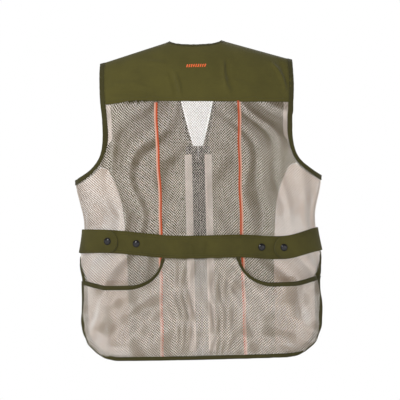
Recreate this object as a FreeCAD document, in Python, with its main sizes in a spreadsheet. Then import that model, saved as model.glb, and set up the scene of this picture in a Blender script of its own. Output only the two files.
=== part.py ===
import FreeCAD
import Part
import Sketcher
import math
import os
from FreeCAD import Placement, Rotation, Vector

# Sleeveless zip-front vest, worn shape, hung by its shoulders.
# Millimetres. The origin is midway between the two neck points of the shoulder seams.
# +Z is up, the back faces -Y, the zip faces +Y, and the wearer's right side is +X when seen from behind.

document = FreeCAD.newDocument("vest")
sheet = document.addObject("Spreadsheet::Sheet", "sizes")

DRIVING_SIZES = {
    # the worn shape
    "back_length": 719, "chest_half": 277, "waist_half": 260, "hip_half": 276, "form_depth": 75,
    "waist_level": 405, "hip_level": 530, "crown": 120,
    "neck_half": 57, "neck_dip": 9, "shoulder_half": 217, "shoulder_fall": 48,
    "armhole_half": 212, "armhole_level": 308,
    # seams and edges
    "yoke_level": 138, "seam_half": 94, "front_seam_half": 168,
    "vee_level": 242, "vee_foot_half": 16, "vent_half": 267, "corner_radius": 80,
    # cloth
    "cloth": 1.5, "trim": 3.2, "trim_width": 9, "clearance": 0.6, "piping_width": 6,
    # belt and its tabs
    "belt_middle": 463, "belt_width": 51, "belt_flare": 4, "belt_lift": 2.2, "belt_cloth": 2,
    "left_rise": 17, "right_dip": 6, "right_rise": 18, "vent_top": 481,
    "tab_lift": 4.8, "tab_cloth": 2.4, "tab_width": 50,
    "left_tab_end": 183, "right_tab_end": 164.5, "left_cap_at": 205, "right_cap_at": 185,
    "left_stud_at": 142, "right_stud_at": 136.5,
    # snap fasteners
    "cap_radius": 7.6, "cap_rise": 3, "socket_radius": 5, "socket_bore": 4.1, "stud_radius": 3,
    "stud_rise": 2,
    # rear pouch
    "pouch_room": 18, "pouch_mouth": 551, "pouch_half": 88,
    # zip
    "zip_tape": 15, "zip_top": 262, "zip_foot": 700, "tooth_pitch": 4, "tooth_long": 1.9,
    "tooth_wide": 3.2, "tooth_thick": 2.6, "zip_gap": 1.4, "zip_lift": 2.4,
    "slider_long": 15, "slider_wide": 11.5, "slider_plate": 1.3, "slider_room": 0.5,
    "pull_long": 34, "pull_wide": 8, "pull_plate": 1.6,
    # pockets
    "pocket_inner": 74, "pocket_outer": 214, "pocket_top": 554, "pocket_foot": 690, "pocket_room": 20,
    "flap_long": 46, "flap_over": 10, "flap_level": 548,
    "chest_inner": 78, "chest_outer": 178, "chest_top": 178, "chest_foot": 292, "chest_room": 14,
    # stitched mark on the yoke
    "mark_long": 46, "mark_high": 10, "mark_level": 57,
}

for row, (alias, value) in enumerate(DRIVING_SIZES.items(), start=1):
    sheet.set(f"A{row}", alias)
    sheet.set(f"B{row}", str(value))
    sheet.setAlias(f"B{row}", alias)
document.recompute()


def size(expression):
    """Value of an expression of sheet aliases."""
    value = sheet.evalExpression(expression)
    return float(getattr(value, "Value", value))


CHEST = size("chest_half")
CROWN = size("crown")
DEPTH = size("form_depth")
HEM = -size("back_length")
CLOTH = size("cloth")
TRIM = size("trim")
TRIM_WIDTH = size("trim_width")
CLEARANCE = size("clearance")
SHOULDER = size("shoulder_half")
NECK = size("neck_half")
SIDES = {"left": -1, "right": 1}


# ---------------------------------------------------------------- the worn shape

def ease(share):
    """Smooth step from 0 to 1."""
    share = max(0, min(1, share))
    return share * share * (3 - 2 * share)


def half_width(z):
    """Half the width of the worn shape at a height."""
    waist = size_of["waist_half"]
    if z > -size_of["waist_level"]:
        drop = size_of["waist_level"] - size_of["armhole_level"]
        return waist + (CHEST - waist) * ease((z + size_of["waist_level"]) / drop)
    drop = size_of["hip_level"] - size_of["waist_level"]
    return waist + (size_of["hip_half"] - waist) * ease((-size_of["waist_level"] - z) / drop)


def shoulder_line(x):
    """Height of the shoulder seam."""
    return -size_of["shoulder_fall"] * max(0, abs(x) - NECK) / (SHOULDER - NECK)


def surface(turn, drop):
    """Point of the worn shape: degrees round from the middle of the back, and mm below the shoulder."""
    sine = math.sin(math.radians(turn))
    top = shoulder_line(CHEST * sine)
    fullness = 1
    z = top - drop
    if drop < CROWN:
        angle = math.pi / 2 * (1 - drop / CROWN)
        z = top - CROWN * (1 - math.sin(angle))
        fullness = math.cos(angle)
    return Vector(half_width(z) * sine, -DEPTH * math.cos(math.radians(turn)) * fullness, z)


def outward(turn, drop):
    """Unit normal of the worn shape."""
    step = 0.05
    along = surface(turn + step, drop) - surface(turn - step, drop)
    down = surface(turn, drop + step) - surface(turn, max(drop - step, 0))
    return down.cross(along).normalize()


def station(x, z, front=False):
    """The turn and drop of the point that is seen at x and z."""
    sine = max(-1, min(1, x / half_width(z)))
    below = max(0, shoulder_line(CHEST * sine) - z)
    drop = below if below > CROWN else CROWN * (1 - 2 / math.pi * math.asin(1 - below / CROWN))
    turn = math.degrees(math.asin(sine))
    if front:
        turn = math.copysign(180, x) - turn
    return turn, drop


def trace(points, front=False, smooth=True, count=60):
    """An edge, as stations, through points given by x and z."""
    corners = [Vector(x, 0, z) for x, z in points]
    if smooth:
        curve = Part.BSplineCurve()
        curve.interpolate(corners)
        outline = curve.toShape()
    else:
        outline = Part.makePolygon(corners)
    return [station(point.x, point.z, front) for point in outline.discretize(Number=count)]


def side_edge(turn, top, foot, count=30):
    """A straight edge down the side of the worn shape."""
    return [(turn, top + (foot - top) * step / (count - 1)) for step in range(count)]


def mirrored(edge):
    return [(-turn, drop) for turn, drop in edge]


def even(edge, count):
    """The same edge with evenly spaced stations."""
    points = [surface(*spot) for spot in edge]
    reach = [0]
    for before, after in zip(points, points[1:]):
        reach.append(reach[-1] + (after - before).Length)
    result = []
    index = 0
    for step in range(count):
        goal = reach[-1] * step / (count - 1)
        while index < len(edge) - 2 and reach[index + 1] < goal:
            index += 1
        span = reach[index + 1] - reach[index]
        share = (goal - reach[index]) / span if span > 1e-9 else 0
        pair = zip(edge[index], edge[index + 1])
        result.append(tuple(first + (second - first) * share for first, second in pair))
    return result


def spread(edge, count):
    """The same edge with its stations evenly spread round the body."""
    result = []
    index = 0
    for step in range(count):
        goal = edge[0][0] + (edge[-1][0] - edge[0][0]) * step / (count - 1)
        while index < len(edge) - 2 and edge[index + 1][0] < goal:
            index += 1
        (turn, drop), (next_turn, next_drop) = edge[index], edge[index + 1]
        share = (goal - turn) / (next_turn - turn) if next_turn > turn else 0
        result.append((goal, drop + (next_drop - drop) * share))
    return result


def moved(edge, distance):
    """The edge moved sideways over the surface, to the right of its direction when seen from outside."""
    result = []
    for index, (turn, drop) in enumerate(edge):
        before = edge[max(index - 1, 0)]
        after = edge[min(index + 1, len(edge) - 1)]
        along = (surface(*after) - surface(*before)).normalize()
        across = along.cross(outward(turn, drop))
        per_turn = surface(turn + 0.1, drop) - surface(turn - 0.1, drop)
        low = max(drop - 0.5, 0)
        per_drop = surface(turn, drop + 0.5) - surface(turn, low)
        turn_share = across.dot(per_turn) / per_turn.dot(per_turn) * 0.2
        drop_share = across.dot(per_drop) / per_drop.dot(per_drop) * (drop + 0.5 - low)
        result.append((turn + turn_share * distance, max(0, drop + drop_share * distance)))
    return result


# ---------------------------------------------------------------- cloth solids

def skin(grid):
    """A face through a grid of points, straight between them."""
    rows = len(grid)
    columns = len(grid[0])
    form = Part.BSplineSurface()
    row_counts = [2] + [1] * (rows - 2) + [2]
    column_counts = [2] + [1] * (columns - 2) + [2]
    form.buildFromPolesMultsKnots(grid, row_counts, column_counts, list(range(rows)), list(range(columns)),
                                  False, False, 1, 1)
    return form.toShape()


def sheet_faces(outer, inner, capped=True):
    """The faces of a sheet between two grids of points; a length of a ring has no end caps."""
    faces = [skin(outer), skin(inner)]
    for column in (0, -1):
        faces.append(skin([[row[column] for row in grid] for grid in (outer, inner)]))
    if capped:
        faces += [skin([outer[row], inner[row]]) for row in (0, -1)]
    return faces


def closed_solid(faces):
    shell = Part.makeShell(faces)
    shell.sewShape()
    solid = Part.makeSolid(shell)
    if solid.Volume < 0:
        solid.reverse()
    return solid


def lift_value(lift, turn, drop):
    return lift(turn, drop) if callable(lift) else lift


def panel_solid(top, foot, left, right, lift=0, thick=CLOTH, columns=16, rows=24):
    """A cloth panel inside four edges: top and foot run the same way, left and right run down."""
    top = top if len(top) == columns else even(top, columns)
    foot = even(foot, columns)
    left = even(left, rows)
    right = even(right, rows)
    inner = []
    outer = []
    for row in range(rows):
        t = row / (rows - 1)
        inner.append([])
        outer.append([])
        for column in range(columns):
            s = column / (columns - 1)
            spot = []
            for axis in (0, 1):
                blend = (1 - t) * top[column][axis] + t * foot[column][axis]
                blend += (1 - s) * left[row][axis] + s * right[row][axis]
                blend -= (1 - s) * (1 - t) * top[0][axis] + s * (1 - t) * top[-1][axis]
                blend -= (1 - s) * t * foot[0][axis] + s * t * foot[-1][axis]
                spot.append(blend)
            spot[1] = max(0, spot[1])
            point = surface(*spot)
            normal = outward(*spot)
            height = lift_value(lift, *spot)
            inner[-1].append(point + normal * height)
            outer[-1].append(point + normal * (height + thick))
    return closed_solid(sheet_faces(outer, inner))


TAPE_STEP = 9


def edge_length(edge):
    points = [surface(*spot) for spot in edge]
    return sum((after - before).Length for before, after in zip(points, points[1:]))


def tape_solid(first, second, lift=-1, thick=TRIM, closed=False):
    """A narrow tape between two edges that run the same way; a closed one ends where it starts."""
    count = max(4, int(edge_length(first) / TAPE_STEP))
    grids = []
    for height in (thick, 0):
        pairs = zip(even(first, count), even(second, count))
        grids.append([[surface(*spot) + outward(*spot) * (lift_value(lift, *spot) + height)
                       for spot in pair] for pair in pairs])
    if not closed:
        return closed_solid(sheet_faces(*grids))
    half = count // 2
    for grid in grids:
        grid[-1] = grid[0]
    return closed_solid(sheet_faces(*[grid[:half + 1] for grid in grids], capped=False)
                        + sheet_faces(*[grid[half:] for grid in grids], capped=False))


def cloth_piece(label, shape):
    """A sewn piece whose free-form shape is set in code."""
    piece = document.addObject("Part::Feature", label)
    piece.Label = label
    piece.Shape = shape
    return piece


# ---------------------------------------------------------------- hard pieces

def origin_plane(body, role):
    return next(item for item in body.Origin.OriginFeatures if item.Role == role)


def outline_sketch(body, name, role, corners):
    """A closed outline whose corners are bound to the sheet, each given as two expressions."""
    sketch = body.newObject("Sketcher::SketchObject", name)
    sketch.AttachmentSupport = (origin_plane(body, role), [""])
    sketch.MapMode = "FlatFace"
    places = [(size(across), size(up)) for across, up in corners]
    for start, end in zip(places, places[1:] + places[:1]):
        sketch.addGeometry(Part.LineSegment(Vector(*start, 0), Vector(*end, 0)))
    for index in range(len(corners)):
        following = (index + 1) % len(corners)
        sketch.addConstraint(Sketcher.Constraint("Coincident", index, 2, following, 1))
    for index, (pair, place) in enumerate(zip(corners, places)):
        for kind, expression, value in zip(("DistanceX", "DistanceY"), pair, place):
            number = sketch.addConstraint(Sketcher.Constraint(kind, -1, 1, index, 1, value))
            sketch.setExpression(f"Constraints[{number}]", bound(expression))
    return sketch


def bound(expression):
    """The expression with each alias read from the sheet."""
    words = []
    word = ""
    for letter in expression + " ":
        if letter.isalnum() or letter == "_":
            word += letter
            continue
        words.append(f"sizes.{word}" if word in DRIVING_SIZES else word)
        words.append(letter)
        word = ""
    return "".join(words).strip()


def turned_body(label, corners, placement):
    """A body turned about its own Z axis; corners are radius and height."""
    body = document.addObject("PartDesign::Body", label)
    body.Label = label
    sketch = outline_sketch(body, label + "_profile", "XZ_Plane", corners)
    turned = body.newObject("PartDesign::Revolution", label + "_turned")
    turned.Profile = sketch
    turned.ReferenceAxis = (sketch, ["V_Axis"])
    turned.Angle = 360
    body.Placement = placement
    return body


def padded_body(label, role, corners, length, placement):
    """A body padded equally to both sides of one of its own planes."""
    body = document.addObject("PartDesign::Body", label)
    body.Label = label
    pad = body.newObject("PartDesign::Pad", label + "_pad")
    pad.Profile = outline_sketch(body, label + "_profile", role, corners)
    pad.Midplane = True
    pad.setExpression("Length", bound(length))
    body.Placement = placement
    return body


def sized_box(name, length, width, height, corner):
    """A box whose sides and corner are bound to the sheet."""
    box = document.addObject("Part::Box", name)
    for side, expression in zip(("Length", "Width", "Height"), (length, width, height)):
        box.setExpression(side, bound(expression))
    for axis, expression in zip("xyz", corner):
        box.setExpression(f"Placement.Base.{axis}", bound(expression))
    return box


def standing_on(turn, drop, height):
    """A placement whose Z axis is the surface's normal."""
    normal = outward(turn, drop)
    return Placement(surface(turn, drop) + normal * height, Rotation(Vector(0, 0, 1), normal))


def pierced(label, shape, holes):
    """A cloth piece with round holes of the snap's shank, cut square to the surface."""
    cloth = cloth_piece(label + "_cloth", shape)
    tools = []
    for number, placement in enumerate(holes, start=1):
        hole = document.addObject("Part::Cylinder", f"{label}_hole_{number}")
        hole.setExpression("Radius", bound("socket_radius + clearance / 2"))
        hole.Height = 30
        hole.Placement = placement.multiply(Placement(Vector(0, 0, -15), Rotation()))
        tools.append(hole)
    for number, hole in enumerate(tools, start=1):
        cut = document.addObject("Part::Cut", f"{label}_cut_{number}")
        cut.Base = cloth
        cut.Tool = hole
        cloth = cut
    cloth.Label = label
    return cloth


size_of = {alias: size(alias) for alias in DRIVING_SIZES}

# ---------------------------------------------------------------- edges of the pattern

def armhole_edge():
    """The right armhole's edge on the back, from the shoulder down to the side."""
    half = size_of["armhole_half"]
    level = size_of["armhole_level"]
    points = [(SHOULDER, -size_of["shoulder_fall"]), (SHOULDER, -125), (half, -level + 98),
              (half + 10, -level + 48), (half + 42, -level + 14), (CHEST, -level)]
    return trace(points)


def armhole_loop(edge):
    """Right round the armhole: up the back, over the shoulder and down the front."""
    front = [(180 - turn, drop) for turn, drop in edge]
    return edge + list(reversed(front))[1:]


def neckline():
    """The right half of the neck's edge: from the middle of the back to the shoulder seam."""
    steps = 14
    points = []
    for step in range(steps + 1):
        angle = math.pi / 2 * step / steps
        points.append((NECK * math.sin(angle), -size_of["neck_dip"] * math.cos(angle)))
    return [station(x, z) for x, z in points]


def vee_edge():
    """The right half of the neck's edge on the front, from the shoulder seam down to the zip."""
    points = [(NECK, 0), (NECK - 6, -40), (NECK - 22, -138), (9, -size_of["vee_level"])]
    return trace(points, front=True)


def front_seam():
    """The seam between the front panel and its side panel, from the armhole down to the hem."""
    half = size_of["front_seam_half"]
    points = [(half + 38, -284), (half + 14, -342), (half + 4, -415), (half, -500), (half, PANEL_FOOT)]
    return trace(points, front=True)


def vent_x(z, half):
    """The vent opens gradually below the belt: from the side seam in to its full gap."""
    closed = half_width(z) * math.sin(math.radians(SIDE_TURN))
    return closed + (half - closed) * ease((-z - VENT_TOP) / VENT_RUN)


def vent_edge(top, inset, front=False):
    """The free edge below the belt, in two parts: down the side to mid-corner, and on to the hem."""
    half = size_of["vent_half"] - inset
    radius = size_of["corner_radius"] - inset
    foot = HEM + CLEARANCE + inset
    steps = 12
    arc = []
    for step in range(steps + 1):
        angle = math.pi / 2 * step / steps
        arc.append((half - radius * (1 - math.cos(angle)), foot + radius * (1 - math.sin(angle))))
    middle = steps // 2
    rows = 24
    levels = [top + (arc[0][1] - top) * step / rows for step in range(rows)]
    side = [station(vent_x(z, half), z, front) for z in levels]
    side += [station(x, z, front) for x, z in arc[:middle + 1]]
    under = [station(x, z, front) for x, z in arc[middle:]]
    return side, under


def belt_level(x, share):
    """Height on the belt: share 0 is its top edge and 1 its lower edge.

    It hangs level in the middle, rises to the left, and dips before it rises to the right."""
    middle = -size_of["belt_middle"] + size_of["left_rise"] * ease((-x - 30) / 200)
    middle += size_of["right_rise"] * ease((x - 185) / 95) - size_of["right_dip"] * ease((x - 83) / 90)
    width = size_of["belt_width"] + size_of["belt_flare"] * (x / CHEST) ** 4
    return middle + width * (0.5 - share)


def belt_reach(sign, share, turn):
    """Distance from the middle at which the belt comes round to a turn, on one side."""
    x = CHEST
    for _ in range(5):
        x = half_width(belt_level(sign * x, share)) * math.sin(math.radians(turn))
    return x


SIDE_TURN = 90 - 2.2
VENT_TOP = size_of["vent_top"]
VENT_RUN = 62
MOUTH_HIGH = -size("belt_middle + belt_width / 2 + 4 * clearance")
MOUTH_LOW = -size("pouch_mouth")
MOUTH_CURVE = 68
MOUTH_RISE = 12


def mouth_level(x):
    """Height of the rear pouch's upper edge: under the belt, then round into each hand opening."""
    along = max(0, min(1, (abs(x) - size_of["pouch_half"]) / MOUTH_CURVE))
    dip = math.sqrt(1 - (1 - along) ** 2)
    return MOUTH_HIGH + (MOUTH_LOW - MOUTH_HIGH) * dip + MOUTH_RISE * ease((abs(x) - 200) / 66)


def mouth_edge(start, end, below=0):
    """The right half of that edge between two distances from the middle, moved down the pouch."""
    half = size_of["pouch_half"]
    steps = 16
    xs = [start, (start + half) / 2]
    xs += [half + MOUTH_CURVE * (1 - math.cos(math.pi / 2 * step / steps)) for step in range(steps)]
    far = half + MOUTH_CURVE
    xs += [far + (end - far) * step / steps for step in range(steps + 1)]
    edge = [station(x, mouth_level(x)) for x in xs]
    return moved(edge, below)


ARMHOLE = armhole_edge()

# ---------------------------------------------------------------- body panels

PANEL_FOOT = HEM + TRIM_WIDTH + 2 * CLEARANCE


def inside_armhole(distance):
    """The armhole's edge on the back, moved onto the cloth, from the shoulder to the side."""
    edge = moved(ARMHOLE, distance)
    return [spot for spot in edge if spot[0] < SIDE_TURN]


def lower_part(edge, level):
    """The part of an edge that lies below a level."""
    return [spot for spot in edge if surface(*spot).z < -level]


def upper_part(edge, level):
    return [spot for spot in edge if surface(*spot).z >= -level]


def across(z, x_start, x_end, front=False):
    return trace([(x_start, z), (x_end, z)], front, smooth=False, count=40)


def panel_side(start_x, front=False):
    """Outer edge of a side panel, from the underarm to mid-corner, and its hem from start_x to there."""
    inner = inside_armhole(TRIM_WIDTH + CLEARANCE)
    seam_foot = station(CHEST, 4 - VENT_TOP)[1]
    seam = side_edge(SIDE_TURN, inner[-1][1] + 4, seam_foot)
    side, under = vent_edge(-VENT_TOP, TRIM_WIDTH + CLEARANCE)
    hem_start = trace([(start_x, PANEL_FOOT), (surface(*under[-1]).x, PANEL_FOOT)], smooth=False, count=20)
    edges = [seam + side, hem_start + list(reversed(under))[1:]]
    if front:
        edges = [[(180 - turn, drop) for turn, drop in edge] for edge in edges]
    return edges


def yoke():
    gap = TRIM_WIDTH + CLEARANCE
    neck_side = moved(neckline(), gap)
    right_arm = upper_part(inside_armhole(gap), size_of["yoke_level"])
    right_top = [(turn, 0) for turn, drop in [neck_side[-1], right_arm[0]]]
    top_right = neck_side + even(right_top, 20)[1:]
    top = list(reversed(mirrored(top_right))) + top_right[1:]
    corner = surface(*right_arm[-1])
    foot = across(-size_of["yoke_level"] + CLEARANCE, -corner.x, corner.x)
    cloth_piece("back_yoke", panel_solid(top, foot, mirrored(right_arm), right_arm, columns=44, rows=14))


def back_center_panel():
    half = size_of["seam_half"] - size_of["piping_width"] / 2 - CLEARANCE
    top = -size_of["yoke_level"] - CLEARANCE
    left = trace([(-half, top), (-half, PANEL_FOOT)], smooth=False)
    right = mirrored(left)
    shape = panel_solid(across(top, -half, half), across(PANEL_FOOT, -half, half), left, right)
    cloth_piece("back_center_panel", shape)


def back_side_panel(side):
    half = size_of["seam_half"] + size_of["piping_width"] / 2 + CLEARANCE
    top = -size_of["yoke_level"] - CLEARANCE
    arm = lower_part(inside_armhole(TRIM_WIDTH + CLEARANCE), size_of["yoke_level"] + 1)
    side_line, foot = panel_side(half)
    corner = surface(*arm[0])
    edges = [across(top, half, corner.x), foot, trace([(half, top), (half, PANEL_FOOT)], smooth=False),
             arm + side_line]
    if SIDES[side] < 0:
        edges = [mirrored(edge) for edge in edges]
    cloth_piece(f"back_side_panel_{side}", panel_solid(*edges, columns=30, rows=44))


def back_piping(side):
    inner = size_of["seam_half"] - size_of["piping_width"] / 2
    outer = size_of["seam_half"] + size_of["piping_width"] / 2
    top = -size_of["yoke_level"] - CLEARANCE
    edges = [trace([(half, top), (half, PANEL_FOOT)], smooth=False, count=30) for half in (inner, outer)]
    if SIDES[side] < 0:
        edges = [mirrored(edge) for edge in edges]
    cloth_piece(f"back_piping_{side}", tape_solid(*edges, lift=-0.4, thick=2.2))


def front_panel(side):
    gap = TRIM_WIDTH + CLEARANCE
    vee = moved(vee_edge(), gap)
    vee[0] = (vee[0][0], 0)
    placket = trace([(size_of["vee_foot_half"] + CLEARANCE, -size_of["vee_level"] - 6),
                     (size_of["vee_foot_half"] + CLEARANCE, PANEL_FOOT)], front=True, smooth=False)
    arm = [(180 - turn, drop) for turn, drop in upper_part(inside_armhole(gap), 280)]
    seam = moved(front_seam(), -CLEARANCE)
    outer = arm + seam
    foot = across(PANEL_FOOT, size_of["vee_foot_half"] + CLEARANCE, surface(*seam[-1]).x, front=True)
    top = even([vee[0], (arm[0][0], 0)], 20)
    edges = [top, foot, vee + placket, outer]
    if SIDES[side] < 0:
        edges = [mirrored(edge) for edge in edges]
    cloth_piece(f"front_panel_{side}", panel_solid(*edges, columns=18, rows=44))


def front_side_panel(side):
    gap = TRIM_WIDTH + CLEARANCE
    inner = moved(front_seam(), CLEARANCE)
    arm = [(180 - turn, drop) for turn, drop in lower_part(inside_armhole(gap), 286)]
    side_line, foot = panel_side(surface(*inner[-1]).x, front=True)
    top = [inner[0]] + arm + [side_line[0]]
    edges = [top, foot, inner, side_line]
    if SIDES[side] < 0:
        edges = [mirrored(edge) for edge in edges]
    cloth_piece(f"front_side_panel_{side}", panel_solid(*edges, columns=26, rows=36))


def side_seam(side):
    """A narrow strip over the side seam, from the underarm to the belt."""
    half_turn = 4
    top = station(CHEST, -size_of["armhole_level"] - TRIM_WIDTH - 6)[1]
    foot = station(CHEST, belt_level(SIDES[side] * CHEST, 0) + 3)[1]
    edges = [side_edge(90 - half_turn, top, foot), side_edge(90 + half_turn, top, foot)]
    if SIDES[side] < 0:
        edges = [mirrored(edge) for edge in edges]
    cloth_piece(f"side_seam_{side}", tape_solid(*edges, lift=CLOTH + 1.5 * CLEARANCE, thick=CLOTH))


# ---------------------------------------------------------------- bound edges

def armhole_binding(side):
    outer = ARMHOLE
    inner = moved(ARMHOLE, TRIM_WIDTH)
    inner[-1] = (90, inner[-1][1])
    outer = outer[:-1] + [(90, outer[-1][1])]
    loops = [armhole_loop(outer), armhole_loop(inner)]
    if SIDES[side] < 0:
        loops = [mirrored(edge) for edge in loops]
    cloth_piece(f"armhole_binding_{side}", tape_solid(*loops, lift=-0.8, closed=True))


def neck_binding():
    """One tape round the neck: up one side of the V, behind the neck and down the other side."""
    back = neckline()
    vee = vee_edge()
    back_inner = moved(back, TRIM_WIDTH)
    vee_inner = moved(vee, TRIM_WIDTH)
    back_inner[-1] = (back_inner[-1][0], 0)
    vee_inner[0] = (180 - back_inner[-1][0], 0)
    halves = []
    for rear, front in ((back, vee), (back_inner, vee_inner)):
        right = rear + front
        halves.append(list(reversed(mirrored(right))) + right[1:])
    cloth_piece("neck_binding", tape_solid(*halves, lift=-0.8))


def lower_edges(top, start_x, front=False):
    """Both edges of a tape down the side, round the corner and along the hem to start_x."""
    edges = []
    for inset in (0, TRIM_WIDTH):
        side, under = vent_edge(top, inset, front)
        level = HEM + CLEARANCE + inset
        hem = trace([(surface(*under[-1]).x, level), (start_x, level)], front, smooth=False, count=20)
        edges.append(side + under[1:] + hem[1:])
    return edges


def whole_edges(top):
    """Both edges of a tape round the whole back, from one side to the other."""
    return [edge + list(reversed(mirrored(edge)))[1:] for edge in lower_edges(top, 0)]


def back_hem_binding():
    cloth_piece("back_hem_binding", tape_solid(*whole_edges(-VENT_TOP), lift=-0.8))


def front_hem_binding(side):
    edges = lower_edges(-VENT_TOP, size_of["vee_foot_half"] + 1, front=True)
    if SIDES[side] < 0:
        edges = [mirrored(edge) for edge in edges]
    cloth_piece(f"front_hem_binding_{side}", tape_solid(*edges, lift=-0.8))


# ---------------------------------------------------------------- rear pouch

def pouch_lift(turn, drop):
    """How far the pouch stands off the back: closed at its sides and hem, open at the hand openings."""
    place = surface(turn, drop)
    share = min(1, abs(place.x) / (size_of["vent_half"] - 4))
    mouth = mouth_level(place.x)
    down = max(0, min(1, (mouth - place.z) / (mouth - HEM - TRIM_WIDTH)))
    sides = 1 - share ** 6
    hem = 1 - down ** 6
    open_here = ease((share - 0.30) / 0.25)
    rise = open_here + (1 - open_here) * ease(down / 0.4)
    return 3.2 + size_of["pouch_room"] * sides * hem * rise


def game_pouch():
    half = size_of["vent_half"] - TRIM_WIDTH - CLEARANCE
    right_top = mouth_edge(0, half, TRIM_WIDTH + 4 * CLEARANCE)
    top = list(reversed(mirrored(right_top))) + right_top[1:]
    side, under = vent_edge(surface(*right_top[-1]).z, TRIM_WIDTH + CLEARANCE)
    hem = trace([(0, PANEL_FOOT - CLEARANCE), (surface(*under[-1]).x, PANEL_FOOT - CLEARANCE)],
                smooth=False, count=20)
    right_foot = hem + list(reversed(under))[1:]
    foot = list(reversed(mirrored(right_foot))) + right_foot[1:]
    columns = 81
    shape = panel_solid(spread(top, columns), foot, mirrored(side), side, lift=pouch_lift,
                        columns=columns, rows=20)
    cloth_piece("game_pouch", shape)


def pouch_opening_binding(side):
    """Tape along one hand opening, from under the belt to the side edge."""
    start = size_of["pouch_half"] - 10
    end = size_of["vent_half"] - TRIM_WIDTH - 5 * CLEARANCE
    edges = [mouth_edge(start, end), mouth_edge(start, end, TRIM_WIDTH)]
    if SIDES[side] < 0:
        edges = [mirrored(edge) for edge in edges]
    cloth_piece(f"pouch_opening_binding_{side}",
                tape_solid(*edges, lift=lambda turn, drop: pouch_lift(turn, drop) - 0.8))


def pouch_edge_binding():
    """One tape round the pouch's sides, corners and hem, outside the back's own hem tape."""
    edges = whole_edges(mouth_level(size_of["vent_half"]) - 2)
    cloth_piece("pouch_edge_binding", tape_solid(*edges, lift=TRIM - 0.8 + CLEARANCE, thick=2.2))


# ---------------------------------------------------------------- belt

TAB_ROOT = 84


def belt_spot(x, share=0.5):
    return station(x, belt_level(x, share))


def belt_edge(x_start, x_end, share, count=60):
    step = (x_end - x_start) / (count - 1)
    return [belt_spot(x_start + step * number, share) for number in range(count)]


def back_belt():
    shares = (0, 0.25, 0.5, 0.75, 1)
    left, right = [[belt_spot(sign * belt_reach(sign, share, 87), share) for share in shares] for sign in (-1, 1)]
    top, foot = [belt_edge(-belt_reach(-1, share, 87), belt_reach(1, share, 87), share) for share in (0, 1)]
    shape = panel_solid(top, foot, left, right,
                        lift=size_of["belt_lift"], thick=size_of["belt_cloth"], columns=90, rows=5)
    cloth_piece("back_belt", shape)


def tab_edges(side):
    """Edges of a belt tab: sewn along a line at the side, rounded at its free end."""
    sign = SIDES[side]
    width = size_of["tab_width"]
    radius = width / 2 - 1
    inset = 0.5 - width / size_of["belt_width"] / 2
    straight = size_of[f"{side}_tab_end"] + radius

    def spot(x, share):
        return station(x, belt_level(sign * x, share))

    def side_of(share):
        root = belt_reach(sign, share, TAB_ROOT)
        return [spot(straight + (root - straight) * step / 40, share) for step in range(1, 41)]

    steps = 16
    arc = []
    for step in range(steps + 1):
        angle = math.pi * step / steps
        arc.append(spot(straight - radius * math.sin(angle), 0.5 - (0.5 - inset) * math.cos(angle)))
    quarter = steps // 4
    shares = [inset + (1 - 2 * inset) * step / 8 for step in range(9)]
    root_edge = [spot(belt_reach(sign, share, TAB_ROOT), share) for share in shares]
    top = list(reversed(arc[:quarter + 1])) + side_of(inset)
    foot = arc[-quarter - 1:] + side_of(1 - inset)
    edges = [top, foot, arc[quarter:-quarter], root_edge]
    return [mirrored(edge) for edge in edges] if sign < 0 else edges


def belt_tab(side):
    cap = belt_spot(SIDES[side] * size_of[f"{side}_cap_at"])
    shape = panel_solid(*tab_edges(side), lift=size_of["tab_lift"], thick=size_of["tab_cloth"],
                        columns=26, rows=17)
    pierced(f"belt_tab_{side}", shape, [standing_on(*cap, size_of["tab_lift"])])


CAP_PROFILE = [("socket_bore", "-cloth"), ("socket_radius", "-cloth"), ("socket_radius", "clearance / 2"),
               ("cap_radius", "clearance / 2"), ("cap_radius", "cap_rise * 0.45"),
               ("cap_radius * 0.8", "cap_rise * 0.8"), ("cap_radius * 0.45", "cap_rise"), ("0", "cap_rise"),
               ("0", "clearance"), ("socket_bore", "clearance")]
STUD_PROFILE = [("0", "0"), ("stud_radius + 1.4", "0"), ("stud_radius + 1.4", "0.5"),
                ("stud_radius * 0.8", "0.6"), ("stud_radius", "stud_rise * 0.7"),
                ("stud_radius * 0.7", "stud_rise"), ("0", "stud_rise")]
BUTTON_PROFILE = [("0", "0"), ("cap_radius", "0"), ("cap_radius", "cap_rise * 0.4"),
                  ("cap_radius * 0.8", "cap_rise * 0.8"), ("cap_radius * 0.45", "cap_rise"),
                  ("0", "cap_rise")]


def snap_cap(label, turn, drop, cloth_face):
    """Domed cap with its socket, through the cloth whose outer face is at the given lift."""
    return turned_body(label, CAP_PROFILE, standing_on(turn, drop, cloth_face))


def belt_snaps():
    belt_face = size_of["belt_lift"] + size_of["belt_cloth"] + 0.05
    for side, sign in SIDES.items():
        cap = belt_spot(sign * size_of[f"{side}_cap_at"])
        snap_cap(f"tab_snap_cap_{side}", *cap, size_of["tab_lift"] + size_of["tab_cloth"])
        turned_body(f"tab_snap_stud_{side}", STUD_PROFILE, standing_on(*cap, belt_face))
        spare = belt_spot(sign * size_of[f"{side}_stud_at"])
        turned_body(f"belt_button_{side}", BUTTON_PROFILE, standing_on(*spare, belt_face))


# ---------------------------------------------------------------- zip

def zip_tape(side):
    top = -size_of["zip_top"]
    inner = size_of["zip_gap"] / 2
    outer = size_of["zip_tape"]
    edges = [trace([(half, top), (half, HEM + TRIM_WIDTH)], True, False, 12) for half in (inner, outer)]
    if SIDES[side] < 0:
        edges = [mirrored(edge) for edge in edges]
    lift = size_of["zip_lift"] - 0.5
    cloth_piece(f"zipper_tape_{side}", tape_solid(*edges, lift=lift, thick=0.9))


def zip_plane():
    """Distance of the zip's middle plane in front of the origin."""
    return DEPTH + size_of["zip_lift"]


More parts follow.
